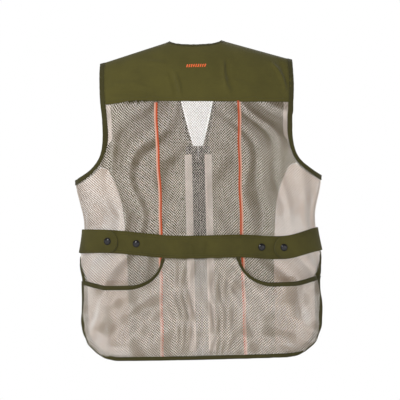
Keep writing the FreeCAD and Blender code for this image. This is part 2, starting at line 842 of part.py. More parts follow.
def zipper_teeth(side):
    """Moulded teeth in one row, in pairs in front of and behind the tape."""
    long = size_of["tooth_long"]
    wide = size_of["tooth_wide"]
    half_thick = size_of["tooth_thick"] / 2
    pitch = size_of["tooth_pitch"]
    first = size_of["zip_top"] + 4 + (pitch / 2 if side == "right" else 0)
    count = int((size_of["zip_foot"] - first) / pitch)
    start = size_of["zip_gap"] / 2 if side == "right" else -size_of["zip_gap"] / 2 - wide
    teeth = []
    for number in range(count):
        z = -first - number * pitch - long
        for y in (zip_plane() + 0.5, zip_plane() - half_thick - 0.15):
            teeth.append(Part.makeBox(wide, half_thick - 0.4, long, Vector(start, y, z)))
    cloth_piece(f"zipper_teeth_{side}", Part.makeCompound(teeth))


def zipper_stops():
    """Top stops and the two halves of the separating end, as separate solids."""
    pieces = []
    inner = size_of["zip_gap"] / 2
    front = zip_plane() + 0.45
    for sign in SIDES.values():
        low = inner if sign > 0 else -inner - 4
        pieces.append(Part.makeBox(4, 1.2, 3, Vector(low, front, -size_of["zip_top"] - 3.2)))
        end_low = inner if sign > 0 else -inner - 6
        pieces.append(Part.makeBox(6, 1.4, 9, Vector(end_low, front, -size_of["zip_foot"] - 9)))
    cloth_piece("zipper_stops", Part.makeCompound(pieces))


def zipper_slider():
    """Front and rear plates joined by a divider, side flanges, and a bridge for the pull."""
    room = "tooth_thick / 2 + slider_room"
    front = f"form_depth + zip_lift + {room}"
    rear = f"form_depth + zip_lift - ({room}) - slider_plate"
    low = "-zip_top - 4 - slider_long"
    edge = "-slider_wide / 2"
    bridge = f"{front} + slider_plate - 0.1"
    parts = [
        sized_box("slider_front", "slider_wide", "slider_plate", "slider_long", (edge, front, low)),
        sized_box("slider_rear", "slider_wide", "slider_plate", "slider_long", (edge, rear, low)),
        sized_box("slider_divider", "zip_gap * 0.6", "tooth_thick + slider_room * 2 + 0.2", "3",
                  ("-zip_gap * 0.3", "form_depth + zip_lift - tooth_thick / 2 - slider_room - 0.1",
                   "-zip_top - 7")),
        sized_box("slider_flange_left", "1", "tooth_thick / 2 - 0.2", "slider_long",
                  (edge, "form_depth + zip_lift + 0.8", low)),
        sized_box("slider_flange_right", "1", "tooth_thick / 2 - 0.2", "slider_long",
                  ("slider_wide / 2 - 1", "form_depth + zip_lift + 0.8", low)),
        sized_box("bridge_top", "2.2", "3.4", "1.4", ("-1.1", bridge, "-zip_top - 6.4")),
        sized_box("bridge_foot", "2.2", "3.4", "1.4", ("-1.1", bridge, "-zip_top - 13")),
        sized_box("bridge_bar", "2.2", "1.1", "8", ("-1.1", f"{bridge} + 2.4", "-zip_top - 13")),
    ]
    slider = document.addObject("Part::MultiFuse", "zipper_slider")
    slider.Shapes = parts
    slider.Label = "zipper_slider"


def pull_axis():
    """Centre of the pull's cross bar, under the slider's bridge."""
    front = zip_plane() + size_of["tooth_thick"] / 2 + size_of["slider_room"] + size_of["slider_plate"]
    return Vector(0, front + 1.1, -size_of["zip_top"] - 8.4)


def zipper_pull():
    """A plate that hangs from its cross bar, with a window that the slider's bridge passes through."""
    body = document.addObject("PartDesign::Body", "zipper_pull")
    body.Label = "zipper_pull"
    half = "pull_wide / 2"
    plate = body.newObject("PartDesign::Pad", "pull_plate_pad")
    plate.Profile = outline_sketch(body, "pull_outline", "XZ_Plane",
                                   [(f"-{half}", "0.8"), (half, "0.8"), (half, "-pull_long + 3"),
                                    (f"{half} - 3", "-pull_long"), (f"-{half} + 3", "-pull_long"),
                                    (f"-{half}", "-pull_long + 3")])
    plate.Midplane = True
    plate.setExpression("Length", bound("pull_plate"))
    document.recompute()
    windows = [("bridge_window", "-0.8", "-7.6", "1.9"), ("grip_window", "-12", "-pull_long + 8", "1.7")]
    for name, top, foot, wide in windows:
        window = body.newObject("PartDesign::Pocket", name)
        window.Profile = outline_sketch(body, name + "_outline", "XZ_Plane",
                                        [(f"-{wide}", top), (wide, top), (wide, foot), (f"-{wide}", foot)])
        window.Type = 1
        window.Midplane = True
    body.Placement = Placement(pull_axis(), Rotation())


# ---------------------------------------------------------------- front pockets

def pocket_frame(side):
    """Placement of a lower pocket's flap: X along the pocket's mouth, Y outward."""
    sign = SIDES[side]
    level = -size_of["flap_level"]
    ends = [surface(*station(sign * size_of[key], level, True)) for key in ("pocket_inner", "pocket_outer")]
    middle = surface(*station(sign * (size_of["pocket_inner"] + size_of["pocket_outer"]) / 2, level, True))
    along = (ends[1] - ends[0]) * sign
    angle = math.degrees(math.atan2(along.y, along.x))
    return Placement(middle, Rotation(Vector(0, 0, 1), angle))


def pocket_lift(inner, outer, top, foot, room):
    """How far a patch pocket stands off the front: closed at its sides and foot, open at its top."""
    def lift(turn, drop):
        place = surface(turn, drop)
        share = 2 * (abs(place.x) - inner) / (outer - inner) - 1
        down = max(0, min(1, (-top - place.z) / (foot - top)))
        return CLOTH + CLEARANCE + room * max(0, 1 - share ** 6) * (1 - down ** 6)
    return lift


def patch_pocket(side, prefix):
    inner = size_of[prefix + "_inner"]
    outer = size_of[prefix + "_outer"]
    top = size_of[prefix + "_top"]
    foot = size_of[prefix + "_foot"]
    lift = pocket_lift(inner, outer, top, foot, size_of[prefix + "_room"])
    edges = [across(-top, inner, outer, True), across(-foot, inner, outer, True)]
    edges += [trace([(x, -top), (x, -foot)], True, False) for x in (inner, outer)]
    if SIDES[side] < 0:
        edges = [mirrored(edge) for edge in edges]
    return panel_solid(*edges, lift=lift, columns=20, rows=16)


def lower_pocket(side):
    cloth_piece(f"lower_pocket_{side}", patch_pocket(side, "pocket"))


def chest_pocket(side):
    cloth_piece(f"chest_pocket_{side}", patch_pocket(side, "chest"))


FLAP_PROFILE = [("3.2", "flap_over"), ("5.4", "flap_over"), ("pocket_room + 12", "-3"),
                ("pocket_room + 12", "-flap_long"), ("pocket_room + 9.8", "-flap_long"),
                ("pocket_room + 9.8", "-4"), ("3.2", "flap_over - 2.6")]


def pocket_flap(side):
    """A flap hinged above the pocket: out over its mouth and down its front."""
    padded_body(f"pocket_flap_{side}", "YZ_Plane", FLAP_PROFILE, "pocket_outer - pocket_inner + 6",
                pocket_frame(side))


def flap_snap(side):
    frame = pocket_frame(side)
    outward_turn = Rotation(Vector(0, 0, 1), Vector(0, 1, 0))
    face = Vector(0, size_of["pocket_room"] + 12.05, -size_of["flap_long"] + 14)
    turned_body(f"flap_snap_cap_{side}", BUTTON_PROFILE, frame.multiply(Placement(face, outward_turn)))


# ---------------------------------------------------------------- mark and neck end

def stitched_mark():
    top = -size_of["mark_level"] + size_of["mark_high"] / 2
    foot = top - size_of["mark_high"]
    half = size_of["mark_long"] / 2
    edges = [across(top, -half, half), across(foot, -half, half)]
    edges += [trace([(x, top), (x, foot)], smooth=False) for x in (-half, half)]
    cloth_piece("stitched_mark", panel_solid(*edges, lift=CLOTH + 0.2, thick=0.7, columns=8, rows=5))


def neck_end_patch(side):
    """A short reinforcing patch across the foot of the V, beside the zip's top."""
    edges = [trace([(x, -size_of["vee_level"] + 7), (x, -size_of["vee_level"] - 11)], True, False, 6)
             for x in (1.2, 25)]
    if SIDES[side] < 0:
        edges = [mirrored(edge) for edge in edges]
    cloth_piece(f"neck_end_patch_{side}", tape_solid(*edges, lift=TRIM - 0.8 + CLEARANCE, thick=1.2))


def front_facing(side):
    """A light strip inside the front edge, beside the zip."""
    edges = [trace([(x, -size_of["vee_level"] - 12), (x, PANEL_FOOT)], True, False, 16) for x in (16.5, 31)]
    if SIDES[side] < 0:
        edges = [mirrored(edge) for edge in edges]
    cloth_piece(f"front_facing_{side}", tape_solid(*edges, lift=-1.8, thick=1.2))


yoke()
back_center_panel()
neck_binding()
back_hem_binding()
game_pouch()
pouch_edge_binding()
back_belt()
belt_snaps()
zipper_stops()
zipper_slider()
zipper_pull()
stitched_mark()
for build in (back_side_panel, back_piping, side_seam, front_panel, front_side_panel, armhole_binding,
              front_hem_binding, pouch_opening_binding, belt_tab, zip_tape, zipper_teeth, lower_pocket,
              chest_pocket, pocket_flap, flap_snap, neck_end_patch, front_facing):
    for name in SIDES:
        build(name)

document.recompute()

# ---------------------------------------------------------------- check and write

HELPERS = ("Spreadsheet::Sheet", "Part::Box", "Part::Cylinder", "App::Origin", "App::Plane", "App::Line",
           "App::Point")


def is_subpart(item):
    """A finished piece: not a helper, and not used by another piece."""
    if item.TypeId in HELPERS or item.TypeId.startswith(("Sketcher", "PartDesign::Pad")):
        return False
    if item.TypeId.startswith("PartDesign") and item.TypeId != "PartDesign::Body":
        return False
    return not any(user.TypeId in ("Part::Cut", "Part::MultiFuse") for user in item.InList)


for item in document.Objects:
    if "Invalid" in item.State or "Error" in item.State:
        raise RuntimeError(f"{item.Label} failed: {item.State}")

os.makedirs("parts", exist_ok=True)
subparts = [item for item in document.Objects if is_subpart(item)]
for item in subparts:
    if item.Shape.isNull() or not item.Shape.isValid():
        raise RuntimeError(f"{item.Label} has no valid shape")
    item.Shape.exportStep(f"parts/{item.Label}.step")
    print(f"{item.Label:28s} solids {len(item.Shape.Solids):4d}  volume {item.Shape.Volume:10.1f}")
print(len(subparts), "sub-parts; pull axis", pull_axis())
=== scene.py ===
import math

import bpy
import numpy as np
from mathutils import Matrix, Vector


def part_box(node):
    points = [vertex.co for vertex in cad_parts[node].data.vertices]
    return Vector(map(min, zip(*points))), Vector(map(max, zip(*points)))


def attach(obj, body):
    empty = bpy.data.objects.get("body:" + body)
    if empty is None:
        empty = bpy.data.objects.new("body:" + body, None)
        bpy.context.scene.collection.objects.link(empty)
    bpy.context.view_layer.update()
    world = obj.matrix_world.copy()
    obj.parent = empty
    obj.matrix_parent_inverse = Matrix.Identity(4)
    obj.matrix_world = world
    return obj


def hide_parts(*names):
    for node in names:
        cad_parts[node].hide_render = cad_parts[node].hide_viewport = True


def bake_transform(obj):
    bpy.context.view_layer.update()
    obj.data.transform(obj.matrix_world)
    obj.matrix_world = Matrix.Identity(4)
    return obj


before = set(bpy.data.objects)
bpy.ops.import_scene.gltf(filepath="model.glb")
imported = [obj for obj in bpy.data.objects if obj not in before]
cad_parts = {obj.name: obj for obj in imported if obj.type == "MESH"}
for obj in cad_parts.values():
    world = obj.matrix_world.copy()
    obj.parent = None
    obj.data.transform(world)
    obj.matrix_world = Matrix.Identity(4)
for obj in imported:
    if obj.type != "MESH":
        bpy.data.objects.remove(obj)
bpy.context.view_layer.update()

MM = 0.001
NO_STEP = 1e-9        # keeps distances rising where two points of an edge coincide
FULL_TURN = 6.283     # radians, for waves

# ---------------------------------------------------------------- sizes, in metres

# levels are below the neck point; widths are from the middle
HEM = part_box("back_hem_binding")[0][2] + 0.004
FRONT_HEM = HEM - 0.0035        # the front hangs a little lower and shows under the back
DEPTH = 0.075                   # from the middle of the body to its back or front
CROWN = 0.120                   # drop over which the shoulders round over
CHEST = 0.277
WAIST = 0.260
HIP = 0.276
CHEST_LEVEL = -0.308
WAIST_LEVEL = -0.405
HIP_LEVEL = -0.530
NECK = 0.057
NECK_DIP = 0.009
SHOULDER = 0.217
SHOULDER_FALL = 0.048
ARMHOLE_HALF = 0.212
YOKE_LEVEL = -0.138
FRONT_SEAM = 0.168              # seam between a cloth front and its side netting
VEE_LEVEL = -0.242              # foot of the front's V neck
VEE_FOOT = 0.016
VENT_HALF = 0.267               # the sides are open below the belt, with rounded corners
VENT_TOP = -0.481
VENT_RUN = 0.062
CORNER = 0.080
TRIM_WIDTH = 0.009
ARM_TAPE = 0.0120
TRIM = 0.0032                   # thickness of a binding over the cloth's edge
TAPE_SINK = -0.0008             # a binding also reaches under the cloth's edge
SIDE_TURN = 87.8                # degrees round to the side seam's edge
BELT_MIDDLE = -0.463
BELT_WIDTH = 0.051
BELT_FLARE = 0.004
POUCH_ROOM = 0.018
POUCH_HALF = 0.088              # the pouch's mouth is level to here, and curves down beyond
MOUTH_HIGH = -0.487
MOUTH_LOW = -0.5455
MOUTH_CURVE = 0.068
ZIP_TOP = -0.262
ZIP_FOOT = -0.700
ZIP_PLANE = DEPTH + 0.0024
SIDES = {"left": -1, "right": 1}

# ---------------------------------------------------------------- the worn shape


def ease(share):
    share = np.clip(share, 0, 1)
    return share * share * (3 - 2 * share)


def half_width(z):
    upper = WAIST + (CHEST - WAIST) * ease((z - WAIST_LEVEL) / (CHEST_LEVEL - WAIST_LEVEL))
    lower = WAIST + (HIP - WAIST) * ease((WAIST_LEVEL - z) / (WAIST_LEVEL - HIP_LEVEL))
    return np.where(z > WAIST_LEVEL, upper, lower)


def shoulder_line(x):
    return -SHOULDER_FALL * np.maximum(0, np.abs(x) - NECK) / (SHOULDER - NECK)


def surface(turn, drop):
    """Points of the worn shape: degrees round from the middle of the back, and metres below the shoulder."""
    turn = np.radians(turn)
    sine = np.sin(turn)
    top = shoulder_line(CHEST * sine)
    angle = math.pi / 2 * (1 - np.minimum(drop, CROWN) / CROWN)
    z = top - CROWN * (1 - np.sin(angle)) - np.maximum(drop - CROWN, 0)
    y = -DEPTH * np.cos(turn) * np.cos(angle)
    return np.stack([half_width(z) * sine, y, z], axis=-1)


def on_shape(edge):
    return surface(edge[..., 0], edge[..., 1])


def heights(edge):
    return on_shape(edge)[..., 2]


def outward(turn, drop):
    along = surface(turn + 0.2, drop) - surface(turn - 0.2, drop)
    down = surface(turn, drop + 0.0002) - surface(turn, np.maximum(drop - 0.0002, 0))
    return unit(np.cross(down, along))


def station(x, z, front=False):
    """The turn and drop of points seen at x and z; one row for each point."""
    x, z = np.broadcast_arrays(np.asarray(x, float), np.asarray(z, float))
    sine = np.clip(x / half_width(z), -1, 1)
    below = np.maximum(0, shoulder_line(CHEST * sine) - z)
    inside = np.arcsin(np.clip(1 - below / CROWN, -1, 1)) * 2 / math.pi
    drop = np.where(below > CROWN, below, CROWN * (1 - inside))
    turn = np.degrees(np.arcsin(sine))
    if front:
        turn = np.copysign(180, x) - turn
    return np.stack([turn, drop], axis=-1)


# ---------------------------------------------------------------- edges: arrays of turn and drop


def unit(vectors):
    return vectors / np.linalg.norm(vectors, axis=-1, keepdims=True)


def run_length(points):
    """Distance along a row of points, from the first to each."""
    return np.r_[0, np.cumsum(np.linalg.norm(np.diff(points, axis=0), axis=1))]


def sampled(points, reach, where):
    """Points at given distances along a row of points."""
    return np.stack([np.interp(where, reach, column) for column in points.T], axis=-1)


def smooth_line(points, count=60):
    """A natural cubic through a few points, evenly sampled along its chords."""
    points = np.asarray(points, float)
    knots = run_length(points)
    gaps = np.diff(knots)
    size = len(points)
    matrix = np.eye(size)
    right = np.zeros_like(points)
    for index in range(1, size - 1):
        before, after = gaps[index - 1:index + 1]
        matrix[index, index - 1:index + 2] = before, 2 * (before + after), after
        rise = np.diff(points[index - 1:index + 2], axis=0) / gaps[index - 1:index + 1, None]
        right[index] = 6 * (rise[1] - rise[0])
    bend = np.linalg.solve(matrix, right)
    where = np.linspace(0, knots[-1], count)
    index = np.clip(np.searchsorted(knots, where) - 1, 0, size - 2)
    gap = gaps[index][:, None]
    before = (where - knots[index])[:, None]
    after = gap - before
    result = (bend[index] * after ** 3 + bend[index + 1] * before ** 3) / (6 * gap)
    result += (points[index] / gap - bend[index] * gap / 6) * after
    result += (points[index + 1] / gap - bend[index + 1] * gap / 6) * before
    return result


def trace(points, front=False, smooth=True, count=60):
    """An edge through points given by x and z."""
    if smooth:
        line = smooth_line(points, count)
    else:
        points = np.asarray(points, float)
        knots = run_length(points)
        line = sampled(points, knots, np.linspace(0, knots[-1], count))
    return station(line[:, 0], line[:, 1], front)


def front_line(points, count=60):
    """A line of straight runs on the front, through points given by x and z."""
    return trace(points, True, False, count)


def reach_of(edge):
    return run_length(on_shape(edge))


def even(edge, count):
    """The edge with evenly spaced stations."""
    reach = reach_of(edge)
    reach = reach + np.arange(len(reach)) * NO_STEP
    return sampled(edge, reach, np.linspace(0, reach[-1], count))


def spread(edge, count):
    """The edge with stations evenly spread round the body."""
    turns = np.linspace(edge[0, 0], edge[-1, 0], count)
    return np.stack([turns, np.interp(turns, edge[:, 0], edge[:, 1])], axis=-1)


def mirrored(edge):
    return edge * [-1, 1]


def moved(edge, distance):
    """The edge moved over the surface to the right of its direction, seen from outside."""
    along = unit(np.gradient(on_shape(edge), axis=0))
    across = np.cross(along, outward(edge[:, 0], edge[:, 1]))
    per_turn = (surface(edge[:, 0] + 0.1, edge[:, 1]) - surface(edge[:, 0] - 0.1, edge[:, 1])) / 0.2
    under = np.maximum(edge[:, 1] - 0.0005, 0)
    per_drop = surface(edge[:, 0], edge[:, 1] + 0.0005) - surface(edge[:, 0], under)
    per_drop /= (edge[:, 1] + 0.0005 - under)[:, None]
    turn_share = (across * per_turn).sum(1) / (per_turn ** 2).sum(1)
    drop_share = (across * per_drop).sum(1) / (per_drop ** 2).sum(1)
    shifted = edge + np.stack([turn_share, drop_share], axis=-1) * distance
    shifted[:, 1] = np.maximum(shifted[:, 1], 0)
    return shifted


def join(*edges):
    return np.concatenate(edges)


def fronted(edge):
    """The same edge on the other side of the side seam."""
    return np.stack([180 - edge[:, 0], edge[:, 1]], axis=-1)


def for_side(side, *edges):
    return [mirrored(edge) if SIDES[side] < 0 else edge for edge in edges]


def armhole_edge():
    points = [(SHOULDER, -SHOULDER_FALL), (SHOULDER, -0.125), (ARMHOLE_HALF, CHEST_LEVEL + 0.098),
              (ARMHOLE_HALF + 0.010, CHEST_LEVEL + 0.048), (ARMHOLE_HALF + 0.042, CHEST_LEVEL + 0.014),
              (CHEST, CHEST_LEVEL)]
    return trace(points, count=80)


def inside_armhole(distance):
    edge = moved(ARMHOLE, distance)
    edge[0, 1] = 0
    return edge[edge[:, 0] < SIDE_TURN]


def neckline():
    angle = np.linspace(0, math.pi / 2, 26)
    return station(NECK * np.sin(angle), -NECK_DIP * np.cos(angle))


def vee_edge():
    points = [(NECK, 0), (NECK - 0.006, -0.040), (NECK - 0.022, -0.138), (0.009, VEE_LEVEL)]
    return trace(points, front=True)


def front_seam():
    points = [(FRONT_SEAM + 0.038, -0.284), (FRONT_SEAM + 0.014, -0.342), (FRONT_SEAM + 0.004, -0.415),
              (FRONT_SEAM, -0.500), (FRONT_SEAM, FRONT_HEM + 0.005)]
    return trace(points, front=True)


def vent_x(z, half):
    closed = half_width(z) * math.sin(math.radians(SIDE_TURN))
    return closed + (half - closed) * ease((VENT_TOP - z) / VENT_RUN)


def vent_edge(top, inset, front=False):
    """The free edge below the belt: down the side and round the corner to the hem."""
    half = VENT_HALF - inset
    radius = CORNER - inset
    foot = (FRONT_HEM if front else HEM) + inset
    z = np.linspace(top, foot + radius, 26)
    angle = np.linspace(0, math.pi / 2, 16)
    x = np.r_[vent_x(z, half), half - radius * (1 - np.cos(angle[1:]))]
    z = np.r_[z, foot + radius * (1 - np.sin(angle[1:]))]
    return station(x, z, front)


def belt_level(x, share):
    """Height on the belt, which rises to the left, and dips and then rises to the right."""
    middle = BELT_MIDDLE + 0.017 * ease((-x - 0.030) / 0.200)
    middle = middle + 0.018 * ease((x - 0.185) / 0.095) - 0.006 * ease((x - 0.083) / 0.090)
    return middle + (BELT_WIDTH + BELT_FLARE * (x / CHEST) ** 4) * (0.5 - share)


def belt_reach(sign, share, turn):
    """Distance from the middle at which the belt comes round to a turn, on one side."""
    x = CHEST
    for _ in range(5):
        x = half_width(belt_level(sign * x, share)) * math.sin(math.radians(turn))
    return x


def belt_edge(x_start, x_end, share, count=80):
    x = np.linspace(x_start, x_end, count)
    return station(x, belt_level(x, share))


def mouth_level(x):
    along = np.clip((np.abs(x) - POUCH_HALF) / MOUTH_CURVE, 0, 1)
    dip = np.sqrt(1 - (1 - along) ** 2)
    return MOUTH_HIGH + (MOUTH_LOW - MOUTH_HIGH) * dip + 0.012 * ease((np.abs(x) - 0.2) / 0.066)


def mouth_edge(start, end, below=0):
    angle = np.linspace(0, math.pi / 2, 20)[:-1]
    far = POUCH_HALF + MOUTH_CURVE
    x = np.r_[start, (start + POUCH_HALF) / 2, POUCH_HALF + MOUTH_CURVE * (1 - np.cos(angle)),
              np.linspace(far, end, 18)]
    return moved(station(x, mouth_level(x)), below)


ARMHOLE = armhole_edge()

# ---------------------------------------------------------------- folds of the cloth

random_folds = np.random.default_rng(7)
SWELLS = [(random_folds.uniform(-1, 1, 2) * rate, random_folds.uniform(0, FULL_TURN), 1 / rate)
          for rate in (9, 14, 14, 22, 22, 34, 34, 55, 55, 80, 80, 120, 120)]


def swell(across, down):
    """Gentle unevenness, between about -1 and 1."""
    total = 0
    for (rate_x, rate_y), phase, size in SWELLS:
        total = total + size * np.sin(FULL_TURN * 0.5 * (rate_x * across + rate_y * down) + phase)
    return total * 6


# each fold: start x and z, end x and z, width and height; a negative height is a valley
BACK_FOLDS = [
    (-0.045, -0.070, -0.040, -0.128, 0.0045, 0.0040), (-0.054, -0.066, -0.050, -0.130, 0.006, -0.0026),
    (0.056, -0.045, 0.074, -0.126, 0.0045, 0.0042), (0.067, -0.045, 0.085, -0.128, 0.006, -0.0028),
    (0.168, -0.050, 0.202, -0.122, 0.0045, 0.0044), (0.180, -0.046, 0.213, -0.118, 0.006, -0.0028),
    (-0.120, -0.040, -0.060, -0.062, 0.007, 0.0026), (0.020, -0.090, 0.120, -0.104, 0.006, 0.0024),
    (-0.190, -0.090, -0.090, -0.112, 0.007, 0.0028), (-0.200, -0.110, -0.080, -0.126, 0.005, -0.0020),
    (-0.205, -0.170, -0.110, -0.250, 0.011, 0.0040), (-0.206, -0.200, -0.105, -0.300, 0.010, -0.0030),
    (-0.215, -0.250, -0.120, -0.340, 0.012, 0.0045), (0.205, -0.165, 0.110, -0.235, 0.011, 0.0038),
    (0.206, -0.205, 0.105, -0.290, 0.010, -0.0032), (0.215, -0.250, 0.115, -0.350, 0.012, 0.0042),
    (-0.080, -0.180, -0.055, -0.330, 0.012, 0.0034), (0.060, -0.160, 0.075, -0.300, 0.012, 0.0032),
    (-0.020, -0.200, 0.012, -0.400, 0.014, 0.0030), (0.030, -0.250, -0.005, -0.410, 0.012, -0.0024),
    (-0.245, -0.330, -0.150, -0.410, 0.010, 0.0038), (0.245, -0.335, 0.150, -0.415, 0.010, 0.0036),
    (-0.230, -0.600, -0.120, -0.640, 0.014, 0.0030), (0.225, -0.590, 0.110, -0.645, 0.014, 0.0030),
    (-0.060, -0.560, -0.020, -0.680, 0.014, 0.0026), (0.040, -0.550, 0.075, -0.680, 0.014, 0.0028),
]
FRONT_FOLDS = [
    (-0.190, -0.120, -0.120, -0.200, 0.010, 0.0032), (0.190, -0.110, 0.120, -0.195, 0.010, 0.0034),
    (-0.210, -0.280, -0.120, -0.360, 0.011, 0.0040), (0.210, -0.285, 0.125, -0.370, 0.011, 0.0038),
    (-0.090, -0.330, -0.070, -0.500, 0.012, 0.0034), (0.085, -0.320, 0.075, -0.490, 0.012, 0.0032),
    (-0.235, -0.360, -0.150, -0.440, 0.010, 0.0032), (0.240, -0.365, 0.150, -0.445, 0.010, 0.0030),
]


def ridge(x, z, fold):
    x_start, z_start, x_end, z_end, width, height = fold
    run = math.hypot(x_end - x_start, z_end - z_start)
    along_x = (x_end - x_start) / run
    along_z = (z_end - z_start) / run
    along = (x - x_start) * along_x + (z - z_start) * along_z
    across = (z - z_start) * along_x - (x - x_start) * along_z
    across = across + 0.004 * np.sin(along * 55 + x_start * 90)
    ends = ease(along / (0.35 * run) + 0.2) * ease((run - along) / (0.35 * run) + 0.2)
    return height * ends * np.exp(-(across / width) ** 2)


def streak(x, z):
    """Bands of taut (-1) and slack (1) netting that fan out from the yoke toward the armholes."""
    reach = np.sqrt(x * x + 0.035 ** 2)
    wobble = 0.013 * np.sin(x * 27 + z * 15) + 0.008 * np.sin(x * 11 - z * 37 + 1)
    steep = 0.72 - 0.24 * ease((-0.18 - z) / 0.25)
    across = reach * (1.45 - steep) + z * steep + wobble + 0.006 * np.sign(x)
    lines = 0.62 * np.sin(across * FULL_TURN / 0.043 + 0.6) + 0.38 * np.sin(across * FULL_TURN / 0.025 + 2.1)
    patches = np.sin(x * 19 + z * 13 + 0.8) * np.sin(z * 21 - x * 9)
    side = 0.45 + 0.55 * ease((np.abs(x) - 0.05) / 0.06)
    return np.tanh(2.3 * lines * (0.6 + 0.4 * patches) * side + 0.5 * patches)


def blotch(x, z):
    """Crumples without a main direction, for the loose pouch: taut (-1) to slack (1)."""
    lean = np.sign(x) * ease(np.abs(x) / 0.08)
    first = (np.sin(x * 52 + 2.2 * np.sin(z * 37) + lean * z * 46)
             * np.sin(z * 44 + 1.7 * np.sin(x * 29) - x * 18))
    second = np.sin(x * 97 - z * 55 + 2 * np.sin(z * 23 + x * 31)) * np.sin(z * 83 + x * 41 + 0.5)
    return np.tanh(2.0 * (0.75 * first + 0.5 * second))


def over_zip(x, z):
    """Netting is drawn open over the zip, the bindings of the V and the dark patch at its foot."""
    strip = ease((0.0190 - np.abs(x)) / 0.004) * ease((VEE_LEVEL - 0.004 - z) / 0.006)
    patch = ease((0.0290 - np.abs(x)) / 0.004) * ease((0.011 - np.abs(z - VEE_LEVEL + 0.003)) / 0.004)
    from_binding = np.abs(x) - 0.0170 - (z - VEE_LEVEL) * 0.20
    binding = ease((0.0048 - np.abs(from_binding)) / 0.0025) * (z > VEE_LEVEL)
    return np.maximum(np.maximum(strip, patch), binding)


def front_slack(x, z):
    """The front's side netting is closer knit."""
    return 1.3 + 0.5 * blotch(x, z)


def over_vee(x, z):
    """1 where the netting hangs over the open V of the front."""
    edge = 0.012 + (z - VEE_LEVEL) * 0.20
    return ease((edge - np.abs(x)) / 0.004) * ease((z - VEE_LEVEL) / 0.004)


def back_slack(x, z):
    """The back netting's slack, which closes its holes and mixes painted shade into its yarn: in bands, drawn
    open over the zip, part way slack over the open V, and fully slack below the pouch's mouth, where the
    pouch's shade is painted.
    """
    held = over_zip(x, z)
    # painted shadow of the pouch: below its mouth the netting is set slack, so its yarn takes the shade
    # colour
    shaded = ease((mouth_level(x) - z) / 0.012)
    bands = streak(x, z) - 0.3 * ease((-0.22 - z) / 0.1)
    shade = bands * (1 - shaded) + 1.2 * shaded
    vee = over_vee(x, z)
    return (shade * (1 - held) - 1.9 * held) * (1 - vee) + 0.45 * vee


# Slack of the pouch netting in crumpled blotches: it closes the holes and mixes painted shade into the yarn.
def pouch_slack(x, z):
    return 1.2 * blotch(x, z) - 0.5


def still(turn, drop):
    """1 where the cloth is free, 0 where a snap, the zip or the belt holds it flat."""
    points = surface(turn, drop)
    x = points[..., 0]
    z = points[..., 2]
    front = np.abs(turn) > 90
    zipper = ease((np.abs(x) - 0.020) / 0.040)
    belt_near = np.abs(z - belt_level(x, 0.5)) - BELT_WIDTH / 2
    belt = ease((belt_near + 0.006) / 0.030)
    shoulder = ease(drop / 0.030)
    side = ease(np.abs(np.abs(turn) - 90) / 8) * 0.7 + 0.3
    pockets = 1 - 0.85 * ease((0.020 - np.maximum(np.abs(np.abs(x) - 0.144) - 0.070, 0)) / 0.02) \
        * ease((-0.500 - z) / 0.04)
    return np.where(front, zipper * pockets, belt) * shoulder * side


def folds(turn, drop):
    """How far the cloth stands out from the smooth shape, in metres."""
    points = surface(turn, drop)
    x = points[..., 0]
    z = points[..., 2]
    front = np.abs(turn) > 90
    total = 0.0011 * swell(np.radians(turn) * 0.2, drop)
    back_sum = sum(ridge(x, z, fold) for fold in BACK_FOLDS)
    front_sum = sum(ridge(x, z, fold) for fold in FRONT_FOLDS)
    back_sum = back_sum + 0.0024 * streak(x, z) * ease((YOKE_LEVEL - z) / 0.03)
    total = total + np.where(front, front_sum, back_sum)
    gap = np.abs(z - belt_level(x, 0.5)) - BELT_WIDTH / 2
    pleats = 0.0014 * np.sin(x * FULL_TURN / 0.034 + 2.5 * np.sin(x * 23))
    pleats = pleats * np.exp(-np.maximum(gap, 0) / 0.035)
    total = total + np.where(front, 0, pleats)
    return total * still(turn, drop)


def lifted(lift, turn, drop):
    return lift(turn, drop) if callable(lift) else lift


def above(lift, height):
    """The same lift, raised by a height."""
    return lambda turn, drop: lift(turn, drop) + height


def place(turn, drop, lift=0.0, give=1.0):
    """Finished points: on the shape, out by the lift and the folds."""
    offset = np.asarray(lifted(lift, turn, drop) + give * folds(turn, drop))
    return surface(turn, drop) + outward(turn, drop) * offset[..., None]


# ---------------------------------------------------------------- meshes


def new_mesh(name, points, faces, uvs=None, smooth=True):
    points = np.asarray(points, float).reshape(-1, 3)
    faces = np.asarray(faces, int)
    mesh = bpy.data.meshes.new(name)
    corners = faces.shape[1]
    mesh.vertices.add(len(points))
    mesh.vertices.foreach_set("co", points.ravel())
    mesh.loops.add(faces.size)
    mesh.loops.foreach_set("vertex_index", faces.ravel())
    mesh.polygons.add(len(faces))
    mesh.polygons.foreach_set("loop_start", np.arange(len(faces)) * corners)
    mesh.update(calc_edges=True)
    mesh.polygons.foreach_set("use_smooth", np.full(len(faces), smooth))
    if uvs is not None:
        layer = mesh.uv_layers.new(name="cloth")
        layer.data.foreach_set("uv", np.asarray(uvs, float).reshape(-1, 2)[faces.ravel()].ravel())
    mesh.validate()
    piece = bpy.data.objects.new(name, mesh)
    bpy.context.scene.collection.objects.link(piece)
    return piece


def finish_piece(piece, material, replaces=(), body="vest"):
    piece.data.materials.append(material)
    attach(piece, body)
    if replaces:
        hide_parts(*replaces)
    return piece


def patch_grid(top, foot, left, right, columns, rows):
    """Turn and drop over a piece inside four edges."""
    top = top if len(top) == columns else even(top, columns)
    foot = even(foot, columns)
    left = even(left, rows)
    right = even(right, rows)
    s = np.linspace(0, 1, columns)[None, :, None]
    t = np.linspace(0, 1, rows)[:, None, None]
    grid = (1 - t) * top[None] + t * foot[None] + (1 - s) * left[:, None] + s * right[:, None]
    grid -= (1 - s) * (1 - t) * top[0] + s * (1 - t) * top[-1]
    grid -= (1 - s) * t * foot[0] + s * t * foot[-1]
    grid[..., 1] = np.maximum(grid[..., 1], 0)
    return grid


